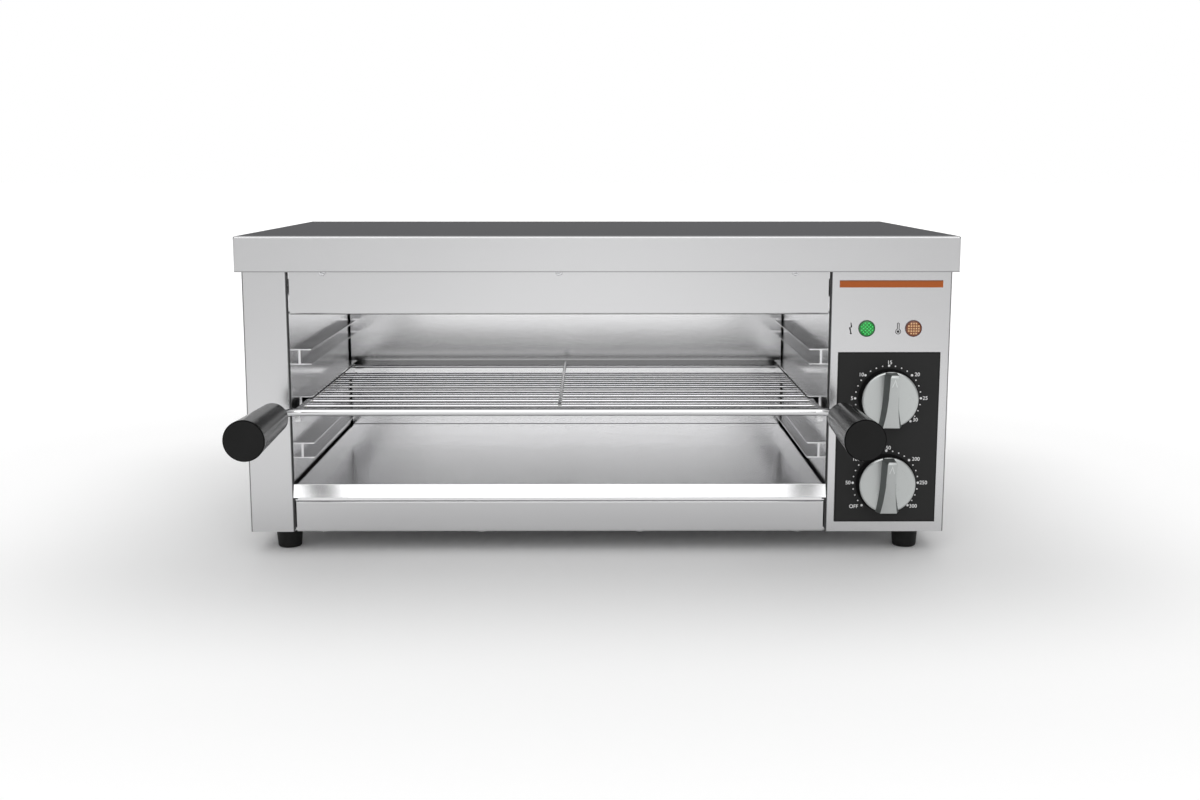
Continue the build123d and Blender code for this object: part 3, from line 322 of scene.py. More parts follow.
def shade_by_height(finish, bands):
    """Darkens a finish towards each height: a band is where it starts, where it is full, and its share."""
    tree = finish.node_tree
    base_colour = tree.nodes["Principled BSDF"].inputs["Base Color"]
    place = add(tree, "ShaderNodeTexCoord").outputs["Object"]
    height = add(tree, "ShaderNodeSeparateXYZ", {0: place}).outputs["Z"]
    shaded = base_colour.links[0].from_socket
    for start, full, share in bands:
        darker = {0: shaded, "Scale": ramp(tree, height, start, full, 1.0, share)}
        shaded = add(tree, "ShaderNodeVectorMath", darker, operation="SCALE").outputs[0]
    tree.links.new(shaded, base_colour)


skirt_steel = brushed("satin_stainless_lid_painted_edge_shade", COVER_COLOUR, COVER_ROUGHNESS, 0.03, BELT_GRAIN, depth=0.01)
# Painted shade: the skirt is darker towards its lower edge.
shade_by_height(skirt_steel, [(cover_low.z + SKIRT_LINE, cover_low.z, SKIRT_LINE_SHADE)])
top_enamel = moulded("matt_graphite_enamel", TOP_COLOUR, 0.9, ENAMEL_GRAIN, 0.3, specular=0.05)
finish_nodes(skirt_steel, "top_cover")
finish_faces(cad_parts["top_cover"].data, [top_enamel], lambda face: (
    face.normal.z > FLAT and face.center.z > cover_high.z - SKIN))


# Cavity
# Walls, floor, reflector and rails are bright rolled sheet, left as it comes from the mill: smoother than
# the casing, so the rails and the rack are mirrored in the walls. The rear wall is painted darker towards the
# rack, most of all in a thin line behind it (painted shade), and the walls' front edges are painted dark
# (painted shade in the seams).
LINER_COLOUR = "#ECECED"
RAIL_COLOUR = "#E2E2E3"
SEAM_SHADE_COLOUR = "#454545"
LINER_ROUGHNESS = 0.19
MILL_LINE = 0.0006
MILL_LENGTH = 0.05
SHEET_GRAIN = (MILL_LENGTH, MILL_LENGTH, MILL_LINE)
CHANNEL_GRAIN = (MILL_LINE, MILL_LENGTH, MILL_LINE)
# Painted shade on the rear wall: bands darker towards the rack, strongest in a thin line behind it.
REAR_WALL_SHADE = 0.52
REAR_LINE_SHADE = 0.45
REAR_SHADE_BANDS = [(0.022, 0.004, REAR_WALL_SHADE), (0.0017, 0.0010, REAR_LINE_SHADE),
              (-0.0035, -0.0042, 1 / REAR_WALL_SHADE / REAR_LINE_SHADE)]
EDGE_FACING = 0.9
EDGE_DEPTH = 0.0005


def middle(name):
    """The middle of a node's box."""
    low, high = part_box(name)
    return (low + high) / 2


bright_steel = brushed("bright_rolled_sheet", LINER_COLOUR, LINER_ROUGHNESS, 0.02, SHEET_GRAIN, depth=0.02)
rear_wall_painted_shade = brushed("rear_sheet_painted_shade", LINER_COLOUR, LINER_ROUGHNESS, 0.02, SHEET_GRAIN, depth=0.02)
rail_steel = brushed("bright_rolled_channel", RAIL_COLOUR, 0.22, 0.02, CHANNEL_GRAIN, depth=0.02)
# Painted shade: a dark colour for the liners' front edge faces, in the seam beside the columns.
seam_painted_shade = moulded("liner_edge_painted_shade", SEAM_SHADE_COLOUR, 0.7, 0.0005, 0.3, 0.1, metallic=0.5)
rack_line = middle("rack_rear_rod").z
# The rear wall's copy of the sheet carries the painted shade bands.
shade_by_height(rear_wall_painted_shade, [
    (rack_line + start, rack_line + full, share) for start, full, share in REAR_SHADE_BANDS])
finish_nodes(bright_steel, "left_liner", "right_liner", "cavity_floor", "reflector")
finish_nodes(rear_wall_painted_shade, "rear_liner")
finish_nodes(rail_steel, *[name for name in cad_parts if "_rail_" in name])
# The liners' front edge faces get the painted seam shade.
for name in ("left_liner", "right_liner"):
    liner_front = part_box(name)[0].y
    finish_faces(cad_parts[name].data, [seam_painted_shade], lambda face: (
        face.normal.y < -EDGE_FACING and face.center.y < liner_front + EDGE_DEPTH))


# Insulation
# A felted mat of mineral fibre lies on the reflector, under the cover. It is loose and pale, and
# takes no gloss.
WOOL_COLOUR = "#D8CFB0"
FIBRE = 0.0015

wool = moulded("mineral_wool_felt", WOOL_COLOUR, 1.0, FIBRE, 0.9, 0.12, specular=0.1)
finish_nodes(wool, "insulation_mat")


# Heating elements
# Hairpins of nickel-alloy tube under the reflector, dark green-grey from their first firing and matt.
# They hang in two punched steel strips and leave the cavity through glazed ceramic bushes, which are
# off-white and shine softly.
SHEATH_COLOUR = "#4A4845"
SHEATH_GRAIN = (0.02, 0.002, 0.002)
CERAMIC_COLOUR = "#E4E0D3"
CERAMIC_GRAIN = 0.002

sheath = brushed("fired_nickel_alloy", SHEATH_COLOUR, 0.5, 0.08, SHEATH_GRAIN, 0.04, 0.2)
finish_nodes(sheath, *[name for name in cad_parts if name.startswith("heating_element_")])
finish_nodes(bright_steel, "element_hangers", "bulb_clips", "thermostat_bulb")
ceramic = moulded("glazed_steatite", CERAMIC_COLOUR, 0.25, CERAMIC_GRAIN, 0.1, 0.03, Coat_Weight=0.4)
finish_nodes(ceramic, "element_bushes", "terminal_block")


# Rack
# Drawn steel rod and flat bar, welded and then electropolished: nearly a mirror, so each rod shows the
# light in front as a thin white line. The rods' undersides, which face the tray, are painted darker: painted
# shade, which gives the dark lines between. Each rod ends in a small bead of weld.
ROD_COLOUR = "#E4E4E5"
CENTRE_ROD_COLOUR = "#C6C6C7"
BAR_COLOUR = "#E0E0E1"
WELD_COLOUR = "#B9B4AC"
ROD_GRAIN = (0.02, 0.02, 0.0006)
BAR_GRAIN = (0.0006, 0.03, 0.0006)
BEAD_GRAIN = (0.0008, 0.0008, 0.0008)
ROD_RADIUS = 0.0015
ROD_COUNT = 8
ROD_UNDERSIDE = 0.0004
ROD_SHADE = 0.15
WELD_SIZE = (0.0011, 0.0019, 0.0012)
WELD_TURN = (0.3, 0.0, 0.3)
WELD_SEED = 3

polished_rod = brushed("electropolished_rod", ROD_COLOUR, 0.10, 0.02, ROD_GRAIN)
cross_rod = brushed("electropolished_rod_painted_underside_shade", ROD_COLOUR, 0.10, 0.02, ROD_GRAIN)
drawn_rod = brushed("drawn_rod", CENTRE_ROD_COLOUR, 0.14, 0.02, ROD_GRAIN)
satin_bar = brushed("electropolished_flat_bar", BAR_COLOUR, 0.26, 0.03, BAR_GRAIN)
weld_steel = brushed("polished_weld_bead", WELD_COLOUR, 0.28, 0.06, BEAD_GRAIN, 0.01, 0.3)
rod_line = middle("rack_cross_rods").z
# Painted shade: the rods' undersides are darker.
shade_by_height(cross_rod, [(rod_line, rod_line - ROD_UNDERSIDE, ROD_SHADE)])
finish_nodes(polished_rod, "rack_front_bar")
finish_nodes(cross_rod, "rack_rear_rod", "rack_cross_rods")
finish_nodes(drawn_rod, "rack_centre_rod")
finish_nodes(satin_bar, "rack_side_bars")


def growing_tree(name, sockets):
    """An empty geometry tree with named inputs; also its inputs and its end node."""
    made = bpy.data.node_groups.new(name, "GeometryNodeTree")
    for label, kind in sockets.items():
        made.interface.new_socket(label, in_out="INPUT", socket_type="NodeSocket" + kind)
    made.interface.new_socket("Geometry", in_out="OUTPUT", socket_type="NodeSocketGeometry")
    return made, add(made, "NodeGroupInput").outputs, add(made, "NodeGroupOutput")


def close_tree(tree, instances, finish, end):
    """Ends a geometry tree: the instances made real and given their material."""
    real = add(tree, "GeometryNodeRealizeInstances", {0: instances})
    dressed = add(tree, "GeometryNodeSetMaterial", {"Geometry": real.outputs[0], "Material": finish})
    tree.links.new(dressed.outputs[0], end.inputs[0])


def as_mesh(item):
    """An object's evaluated shape as a plain mesh."""
    seen_now = bpy.context.evaluated_depsgraph_get()
    return bpy.data.meshes.new_from_object(item.evaluated_get(seen_now), depsgraph=seen_now)


def grown(name, tree, points, values):
    """Runs a geometry tree over some points and returns what it makes as a plain mesh."""
    start = bpy.data.meshes.new(name)
    start.from_pydata([tuple(point) for point in points], [], [])
    base = in_scene(name, start)
    step = base.modifiers.new("grow", "NODES")
    step.node_group = tree
    for socket in tree.interface.items_tree:
        if socket.in_out == "INPUT" and socket.name in values:
            step[socket.identifier] = values[socket.name]
    made = as_mesh(base)
    base.modifiers.remove(step)
    bpy.data.objects.remove(base)
    return made


def mesh_from(form, name, matrix=None, sharp=35.0):
    """A finished form as a mesh: put in its place, smooth, with its creases kept sharp."""
    if matrix:
        form.transform(matrix)
    mesh = bpy.data.meshes.new(name)
    form.to_mesh(mesh)
    form.free()
    mesh.shade_smooth()
    mesh.set_sharp_from_angle(angle=math.radians(sharp))
    return mesh


def place_piece(name, mesh, replaced=(), finish=None, body="casing"):
    """A finished mesh as a piece that rides on a body and may stand for nodes of the frame."""
    made = in_scene(name, mesh)
    if finish:
        mesh.materials.clear()
        mesh.materials.append(finish)
    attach(made, body)
    if replaced:
        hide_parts(*replaced)


def even(low, high, count, margin=0.0):
    """Evenly spaced places between two limits, the first and last a margin inside them."""
    step = (high - low - 2 * margin) / (count - 1)
    return [low + margin + step * number for number in range(count)]


stamp_tree, stamp_in, stamp_end = growing_tree("stamp", {
    "Points": "Geometry", "Template": "Object", "Spin": "Vector", "Seed": "Int", "Finish": "Material"})
template_shape = add(stamp_tree, "GeometryNodeObjectInfo", {"Object": stamp_in["Template"]},
                     transform_space="ORIGINAL").outputs["Geometry"]
spin = add(stamp_tree, "FunctionNodeRandomValue", {
    0: (0, 0, 0), 1: stamp_in["Spin"], "Seed": stamp_in["Seed"]}, data_type="FLOAT_VECTOR")
stamped = add(stamp_tree, "GeometryNodeInstanceOnPoints", {
    "Points": stamp_in["Points"], "Instance": template_shape, "Rotation": spin.outputs[0]})
close_tree(stamp_tree, stamped.outputs[0], stamp_in["Finish"], stamp_end)


def stamp(name, template_mesh, points, finish, spin_limit=(0.0, 0.0, 0.0), seed=0):
    """Copies of one mesh at the given points, each turned at random up to a limit, as one plain mesh."""
    template = bpy.data.objects.new(name + "_template", template_mesh)
    made = grown(name, stamp_tree, points, {"Template": template, "Spin": spin_limit, "Seed": seed,
                                            "Finish": finish})
    bpy.data.objects.remove(template)
    return made


rods_low, rods_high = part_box("rack_cross_rods")
rod_places = even(rods_low.y, rods_high.y, ROD_COUNT, ROD_RADIUS) + [middle("rack_rear_rod").y]
weld_points = [(x, y, rod_line) for x in (rods_low.x, rods_high.x) for y in rod_places]
weld_points += [(middle("rack_centre_rod").x, y, rod_line + ROD_RADIUS) for y in rod_places]
bead = bmesh.new()
bmesh.ops.create_icosphere(bead, subdivisions=2, radius=1.0, matrix=Matrix.Diagonal((*WELD_SIZE, 1.0)))
weld_mesh = stamp("rack_welds", mesh_from(bead, "weld_bead"), weld_points, weld_steel, WELD_TURN, WELD_SEED)
place_piece("rack_welds", weld_mesh, body="rack")


# Handles
# Two tapering grips of moulded phenolic, black right through, on the bent ends of the front bar. Their
# sides are glossy from the mould, and their turned ends are matt with a duller rim.
HANDLE_COLOUR = "#181818"
HANDLE_END_COLOUR = "#1E1E1E"
HANDLE_RIM_COLOUR = "#080808"
PHENOLIC_GRAIN = 0.004
TURNED_GRAIN = 0.0008
END_FACING = 0.99
RIM_FACING = 0.4

phenolic = moulded("moulded_phenolic", HANDLE_COLOUR, 0.20, PHENOLIC_GRAIN, 0.03, 0.08, specular=0.30)
end_phenolic = moulded("turned_phenolic_end", HANDLE_END_COLOUR, 0.8, TURNED_GRAIN, 0.2, 0.05, specular=0.2)
rim_phenolic = moulded("turned_phenolic_rim", HANDLE_RIM_COLOUR, 0.9, TURNED_GRAIN, 0.2, 0.05, specular=0.1)
finish_nodes(phenolic, "left_handle", "right_handle")
for name in ("left_handle", "right_handle"):
    finish_faces(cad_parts[name].data, [end_phenolic, rim_phenolic], lambda face: (
        1 if abs(face.normal.y) > END_FACING else 2 if abs(face.normal.y) > RIM_FACING else 0))


# Crumb tray
# A shallow tray of the same bright sheet, which slides on the cavity floor. Its front edge is rolled
# over into a leaning lip that shines brighter than the casing.
TRAY_COLOUR = "#F3F3F4"
TRAY_GRAIN = (MILL_LENGTH, MILL_LINE, MILL_LINE)

tray_steel = brushed("bright_tray_sheet", TRAY_COLOUR, 0.21, 0.02, TRAY_GRAIN, depth=0.02)
finish_nodes(tray_steel, "crumb_tray")


# Trim stripe
# A thin aluminium strip printed in satin orange ink, which lies flat and even and takes a dull shine. Along
# its upper edge a browner colour is painted in: painted shadow.
STRIPE_COLOUR = "#B05A22"
STRIPE_SHADOW_COLOUR = "#8A4E2C"
STRIPE_SHADOW_BAND = 0.0016
STRIPE_GRAIN = 1 / 1500
INK_DEPTH = 0.0001


def printed(name, colours, roughness, grain, strength):
    """Printed ink in two colours, the second painted in as shade; also its tree, its place on the piece and
    the input that mixes them.
    """
    made, shader = material(name, colours[0], roughness, specular=0.3)
    tree = made.node_tree
    place = add(tree, "ShaderNodeTexCoord").outputs["Object"]
    mix = add(tree, "ShaderNodeMix", {6: paint(colours[0]), 7: paint(colours[1])}, data_type="RGBA")
    tree.links.new(mix.outputs[2], shader.inputs["Base Color"])
    speckle = add(tree, "ShaderNodeTexNoise", {"Vector": place, "Scale": 1 / grain}).outputs["Fac"]
    bump = add(tree, "ShaderNodeBump", {"Height": speckle, "Strength": strength, "Distance": INK_DEPTH})
    tree.links.new(bump.outputs[0], shader.inputs["Normal"])
    return made, tree, place, mix.inputs["Factor"]


stripe_ink, stripe_tree, stripe_place, stripe_shadow_mix = printed(
    "satin_orange_ink_painted_shadow", (STRIPE_COLOUR, STRIPE_SHADOW_COLOUR), 0.5, STRIPE_GRAIN, 0.1)
stripe_height = add(stripe_tree, "ShaderNodeSeparateXYZ", {0: stripe_place}).outputs["Z"]
stripe_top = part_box("trim_stripe")[1].z
# Painted shadow: browner towards the stripe's upper edge.
stripe_tree.links.new(ramp(stripe_tree, stripe_height, stripe_top - STRIPE_SHADOW_BAND, stripe_top), stripe_shadow_mix)
finish_nodes(stripe_ink, "trim_stripe")


# Dial plate
# A thin aluminium plate printed in satin black ink, with two rings of dots and plain numbers in dull
# white. The black is painted deeper in a narrow border all round: painted shade at the plate's edges.
PLATE_COLOUR = "#1F1F1F"
PLATE_SHADE_COLOUR = "#0B0B0B"
PLATE_SHADE_BORDER = 0.0012
PLATE_GRAIN = 1 / 1800
PRINT_COLOUR = "#F2F2F2"
PRINT_THICKNESS = 0.0001
PRINT_GRAIN = 0.0004
DOT_RING = 0.0281
DOT_COUNT = 25
DOT_START = -135.0
DOT_STEP = 11.25
DOT_SIDES = 20
DOTS_PER_NUMBER = 4
LARGE_DOT = 0.00105
SMALL_DOT = 0.0006
DIGIT_SIZE = 0.0045
DIGIT_WEIGHT = 0.00004
TIMER_LABELS = [("0", -129, 0.0296), ("5", -90, 0.0308), ("10", -49, 0.0310), ("15", 1, 0.0308),
                ("20", 50, 0.0318), ("25", 90, 0.0318), ("30", 128, 0.0304)]
THERMOSTAT_LABELS = [("OFF", -128, 0.0340), ("50", -90, 0.0322), ("100", -51, 0.0330), ("150", 1, 0.0306),
                     ("200", 51, 0.0330), ("250", 90, 0.0328), ("300", 130, 0.0322)]

plate_low, plate_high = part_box("dial_plate")
plate_ink, plate_tree, plate_place, plate_shade_mix = printed(
    "satin_black_ink_painted_edge_shade", (PLATE_COLOUR, PLATE_SHADE_COLOUR), 0.55, PLATE_GRAIN, 0.15)
past_edge = plate_place
for operation, other in (("SUBTRACT", middle("dial_plate")), ("ABSOLUTE", (0, 0, 0)),
                         ("SUBTRACT", (plate_high - plate_low) / 2)):
    past_edge = add(plate_tree, "ShaderNodeVectorMath", {0: past_edge, 1: tuple(other)}, operation=operation)
    past_edge = past_edge.outputs[0]
past_edge = add(plate_tree, "ShaderNodeSeparateXYZ", {0: past_edge}).outputs
nearest_edge = combine(plate_tree, "MAXIMUM", past_edge["X"], past_edge["Z"])
# Painted shade: the black is deeper within a narrow border along the plate's edges.
plate_tree.links.new(combine(plate_tree, "GREATER_THAN", nearest_edge, -PLATE_SHADE_BORDER), plate_shade_mix)
finish_nodes(plate_ink, "dial_plate")
white_print = moulded("screen_printed_white", PRINT_COLOUR, 0.5, PRINT_GRAIN, 0.1, 0.03, specular=0.3)

dot_tree, dot_in, dot_end = growing_tree("dial_dots", {
    "Centres": "Geometry", "Radius": "Float", "Count": "Int", "Start": "Float", "Step": "Float",
    "Large dot": "Float", "Small dot": "Float", "Thickness": "Float", "Finish": "Material"})
dot_number = add(dot_tree, "GeometryNodeInputIndex").outputs[0]
turn = combine(dot_tree, "ADD", combine(dot_tree, "MULTIPLY", dot_number, dot_in["Step"]), dot_in["Start"])
across = add(dot_tree, "ShaderNodeMath", {0: turn}, operation="SINE").outputs[0]
upward = add(dot_tree, "ShaderNodeMath", {0: turn}, operation="COSINE").outputs[0]
dot_place = add(dot_tree, "ShaderNodeCombineXYZ", {
    "X": combine(dot_tree, "MULTIPLY", across, dot_in["Radius"]),
    "Z": combine(dot_tree, "MULTIPLY", upward, dot_in["Radius"])}).outputs[0]
dot_points = add(dot_tree, "GeometryNodePoints", {"Count": dot_in["Count"], "Position": dot_place})
between = combine(dot_tree, "GREATER_THAN", combine(dot_tree, "MODULO", dot_number, DOTS_PER_NUMBER), 0.5)
shrink = combine(dot_tree, "SUBTRACT", dot_in["Large dot"], dot_in["Small dot"])
shrink = combine(dot_tree, "MULTIPLY", between, shrink)
dot_radius = combine(dot_tree, "SUBTRACT", dot_in["Large dot"], shrink)
dot_scale = add(dot_tree, "ShaderNodeCombineXYZ", {"X": dot_radius, "Y": dot_radius, "Z": 1.0}).outputs[0]
disc = add(dot_tree, "GeometryNodeMeshCylinder", {
    "Vertices": DOT_SIDES, "Radius": 1.0, "Depth": dot_in["Thickness"]}).outputs["Mesh"]
ring = add(dot_tree, "GeometryNodeInstanceOnPoints", {
    "Points": dot_points.outputs[0], "Instance": disc, "Rotation": (math.pi / 2, 0, 0), "Scale": dot_scale})
rings = add(dot_tree, "GeometryNodeInstanceOnPoints", {
    "Points": dot_in["Centres"], "Instance": ring.outputs[0]})
close_tree(dot_tree, rings.outputs[0], dot_in["Finish"], dot_end)

dial_x, _, timer_z = middle("timer_shaft")
thermostat_z = middle("thermostat_shaft").z
print_y = plate_low.y - PRINT_THICKNESS / 2
dot_mesh = grown("dial_dots", dot_tree, [(dial_x, print_y, z) for z in (timer_z, thermostat_z)], {
    "Radius": DOT_RING, "Count": DOT_COUNT, "Start": math.radians(DOT_START), "Step": math.radians(DOT_STEP),
    "Large dot": LARGE_DOT, "Small dot": SMALL_DOT, "Thickness": PRINT_THICKNESS, "Finish": white_print})
place_piece("dial_dots", dot_mesh)

FACING_FRONT = Matrix.Rotation(math.pi / 2, 4, "X")


def lettering(name, labels):
    """Printed figures: each label is its text and the place of its middle."""
    sheet = bmesh.new()
    for text, place in labels:
        curve = bpy.data.curves.new(name, "FONT")
        curve.body = text
        curve.size = DIGIT_SIZE
        curve.extrude = PRINT_THICKNESS / 2
        curve.offset = DIGIT_WEIGHT
        curve.align_x = "CENTER"
        curve.align_y = "CENTER"
        writing = in_scene(name, curve)
        flat = as_mesh(writing)
        flat.transform(Matrix.Translation(place) @ FACING_FRONT)
        sheet.from_mesh(flat)
        bpy.data.objects.remove(writing)
    bmesh.ops.remove_doubles(sheet, verts=sheet.verts, dist=1e-7)
    return mesh_from(sheet, name)


labels = []
for rows, dial_z in ((TIMER_LABELS, timer_z), (THERMOSTAT_LABELS, thermostat_z)):
    for text, angle, radius in rows:
        offset = Vector((math.sin(math.radians(angle)), 0, math.cos(math.radians(angle)))) * radius
        labels.append((text, Vector((dial_x, print_y, dial_z)) + offset))
place_piece("dial_numbers", lettering("dial_numbers", labels), finish=white_print)


# Knobs
# Each is a fluted black nylon skirt with a silver-grey ABS cap moulded over it. The cap's soft sheen comes
# from metal flake in the plastic, so its bevelled rim and tip catch the light above. The steep flanks of
# its grip and the tip's end face are painted a darker grey (painted shade); the raised arrow is painted a
# lighter grey (a painted highlight).
KNOB_BLACK = "#050505"
KNOB_GREY = "#BFC2C1"
FLANK_SHADE_GREY = "#6A6E6D"
ARROW_HIGHLIGHT_GREY = "#DDE0DF"
SKIRT_SIDES = 144
SKIRT_FLANGE = 0.0257
SKIRT_RADIUS = 0.0236
SKIRT_FLUTE = 0.0005
SKIRT_EDGE = 0.0003
SKIRT_WALL = 0.002
SKIRT_CORNER = (0.001, 0.0004)
SKIRT_ROOF = 0.0025
CAP_SIDES = 96
CAP_CREASE = 18.0
CAP_RADIUS = 0.024
CAP_BEVEL = 0.0009
CAP_RIM = (0.0003, 0.0013)
CAP_DISH = 0.00015
GRIP_TIP = 0.0234
GRIP_TAIL = -0.0232
GRIP_TIP_HALF = 0.0041
GRIP_TAIL_HALF = 0.0075
GRIP_HEIGHT = 0.0185
GRIP_TAIL_RISE = 0.0075
GRIP_EDGE = 0.0006
GRIP_DRAFT = (0.0014, 0.0027)
GRIP_NOSE = (0.0019, 0.0009)
GRIP_STATIONS = 24
FLANK_FACING = 0.7
ARROW_MIDDLE = 0.0170
ARROW_SIZE = (0.0048, 0.0072)
ARROW_STROKE = 0.0008
ARROW_RELIEF = 0.0003
NYLON_GRAIN = 0.0006
ABS_GRAIN = 0.0005

knob_black = moulded("moulded_black_nylon", KNOB_BLACK, 0.6, NYLON_GRAIN, 0.15, 0.05, specular=0.15)
knob_grey = moulded("silver_grey_abs", KNOB_GREY, 0.30, ABS_GRAIN, 0.08, 0.02, metallic=0.8)
flank_painted_shade = moulded("silver_grey_abs_flank_painted_shade", FLANK_SHADE_GREY, 0.55, ABS_GRAIN, 0.25, 0.04, metallic=0.4)
arrow_painted_highlight = moulded("silver_grey_abs_arrow_painted_highlight", ARROW_HIGHLIGHT_GREY, 0.5, ABS_GRAIN, 0.10, 0.02)


def turned(outline, sides, closed=False):
    """A turned form from a list of radius and height, with a third number where the ring is fluted."""
    form = bmesh.new()
    rings = []
    for radius, height, *flute in outline:
        depth = flute[0] if flute else 0.0
        if radius == 0:
            rings.append([form.verts.new((0, 0, height))])
            continue
        ring_verts = []
        for number in range(sides):
            angle = 2 * math.pi * number / sides
            reach = radius - depth * (number // 2 % 2)
            ring_verts.append(form.verts.new((reach * math.cos(angle), reach * math.sin(angle), height)))
        rings.append(ring_verts)
    pairs = list(zip(rings, rings[1:])) + ([(rings[-1], rings[0])] if closed else [])
    for lower, upper in pairs:
        for number in range(sides):
            after = number + 1
            corner = [lower[number % len(lower)], lower[after % len(lower)],
                      upper[after % len(upper)], upper[number % len(upper)]]
            corner = list(dict.fromkeys(corner))
            if len(corner) > 2:
                form.faces.new(corner)
    return form


def lofted(form, sections, ring=False):
    """Adds a skin through sections of equally many points, with its ends closed or joined in a ring."""
    rows = [[form.verts.new(point) for point in section] for section in sections]
    count = len(rows[0])
    skin = []
    for lower, upper in zip(rows, rows[1:] + rows[:1] if ring else rows[1:]):
        for number in range(count):
            after = (number + 1) % count
            skin.append(form.faces.new((lower[number], lower[after], upper[after], upper[number])))
    if not ring:
        skin += [form.faces.new(rows[0]), form.faces.new(rows[-1])]
    bmesh.ops.recalc_face_normals(form, faces=skin)


def grip_height(y):
    """The grip's height over the cap, which falls in a straight line from tip to tail."""
    share = (GRIP_TIP - y) / (GRIP_TIP - GRIP_TAIL)
    return GRIP_HEIGHT + (GRIP_TAIL_RISE - GRIP_HEIGHT) * share


def grip_section(y, base_z, pinch):
    """One cross-section of the grip, with rounded upper edges, drawn in by pinch at its ends."""
    share = (GRIP_TIP - y) / (GRIP_TIP - GRIP_TAIL)
    half_width = GRIP_TIP_HALF + (GRIP_TAIL_HALF - GRIP_TIP_HALF) * share ** 3 - pinch
    top = base_z + grip_height(y) - pinch
    inner, lower = half_width - GRIP_EDGE, top - GRIP_EDGE
    right = [(inner + GRIP_EDGE * math.cos(angle), lower + GRIP_EDGE * math.sin(angle))
             for angle in even(0, math.pi / 2, 4)]
    draft = GRIP_DRAFT[0] + (GRIP_DRAFT[1] - GRIP_DRAFT[0]) * share
    outline = [(half_width + draft, base_z)] + right
    outline += [(-x, z) for x, z in reversed(outline)]
    return [(x, y, z) for x, z in outline]


def knob_cap(thickness):
    """The cap, its wedge-shaped grip and the raised arrow, with the cap's back at zero."""
    form = turned([(0, 0), (CAP_RADIUS - CAP_BEVEL, 0), (CAP_RADIUS, CAP_BEVEL / 2),
                   (CAP_RADIUS, thickness - CAP_BEVEL), (CAP_RADIUS - CAP_RIM[0], thickness - CAP_BEVEL / 2),
                   (CAP_RADIUS - CAP_RIM[1], thickness), (CAP_RADIUS - 2 * CAP_RIM[1], thickness - CAP_DISH),
                   (0, thickness - CAP_DISH)], CAP_SIDES)
    base_z = thickness - 2 * CAP_DISH
    stations = [(GRIP_TAIL, GRIP_EDGE), (GRIP_TAIL + GRIP_EDGE / 3, GRIP_EDGE / 3),
                (GRIP_TAIL + GRIP_EDGE, 0.0)]
    nose = GRIP_TIP - GRIP_NOSE[0]
    stations += [(y, 0.0) for y in even(GRIP_TAIL + 2 * GRIP_EDGE, nose, GRIP_STATIONS)]
    stations += [(GRIP_TIP, GRIP_NOSE[1])]
    lofted(form, [grip_section(y, base_z, pinch) for y, pinch in stations])
    form.normal_update()
    # Painted shade: the grip's flanks and its tip's end face take the darker grey.
    for face in form.faces:
        centre = face.calc_center_median()
        flank = abs(face.normal.x) > FLANK_FACING and abs(centre.x) < GRIP_TAIL_HALF + GRIP_DRAFT[1]
        end = face.normal.y > FLANK_FACING and centre.z > thickness
        face.material_index = 1 if flank or end else 0
    plain_faces = len(form.faces)
    half_width, half_height = ARROW_SIZE[0] / 2, ARROW_SIZE[1] / 2
    top, foot = ARROW_MIDDLE + half_height, ARROW_MIDDLE - half_height
    outline = [(0, top), (-half_width, foot), (-half_width + ARROW_STROKE, foot), (0, top - 3 * ARROW_STROKE),
               (half_width - ARROW_STROKE, foot), (half_width, foot)]
    layers = [[(x, y, base_z + grip_height(y) + rise) for x, y in outline]
              for rise in (-ARROW_RELIEF, ARROW_RELIEF)]
    lofted(form, layers)
    form.faces.ensure_lookup_table()
    # Painted highlight: the raised arrow takes the lighter grey.
    for face in form.faces[plain_faces:]:
        face.material_index = 2
    return form


for name, dial_z in (("timer", timer_z), ("thermostat", thermostat_z)):
    skirt_low, skirt_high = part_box(name + "_knob")
    skirt_depth = skirt_high.y - skirt_low.y
    inside, roof = SKIRT_RADIUS - SKIRT_WALL, skirt_depth - SKIRT_ROOF
    skirt = turned([(inside, 0), (SKIRT_FLANGE - SKIRT_EDGE, 0), (SKIRT_FLANGE, SKIRT_EDGE),
                    (SKIRT_FLANGE, 3 * SKIRT_EDGE), (SKIRT_RADIUS, 4 * SKIRT_EDGE, SKIRT_FLUTE),
                    (SKIRT_RADIUS, skirt_depth - SKIRT_CORNER[1], SKIRT_FLUTE),
                    (SKIRT_RADIUS - SKIRT_CORNER[0], skirt_depth), (0, skirt_depth), (0, roof),
                    (inside, roof)], SKIRT_SIDES, closed=True)
    seat = Matrix.Translation((dial_x, skirt_high.y, dial_z)) @ FACING_FRONT
    place_piece(name + "_knob_skirt", mesh_from(skirt, name + "_knob_skirt", seat),
                [name + "_knob"], knob_black, name + "_dial")
    cap_depth = skirt_low.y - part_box(name + "_knob_cap")[0].y - GRIP_HEIGHT
    seat = Matrix.Translation((dial_x, skirt_low.y, dial_z)) @ FACING_FRONT
    cap_mesh = mesh_from(knob_cap(cap_depth), name + "_knob_grip", seat, CAP_CREASE)
    # The second finish is painted shade, the third a painted highlight.
    for finish in (knob_grey, flank_painted_shade, arrow_painted_highlight):
        cap_mesh.materials.append(finish)
    place_piece(name + "_knob_grip", cap_mesh, [name + "_knob_cap"], body=name + "_dial")


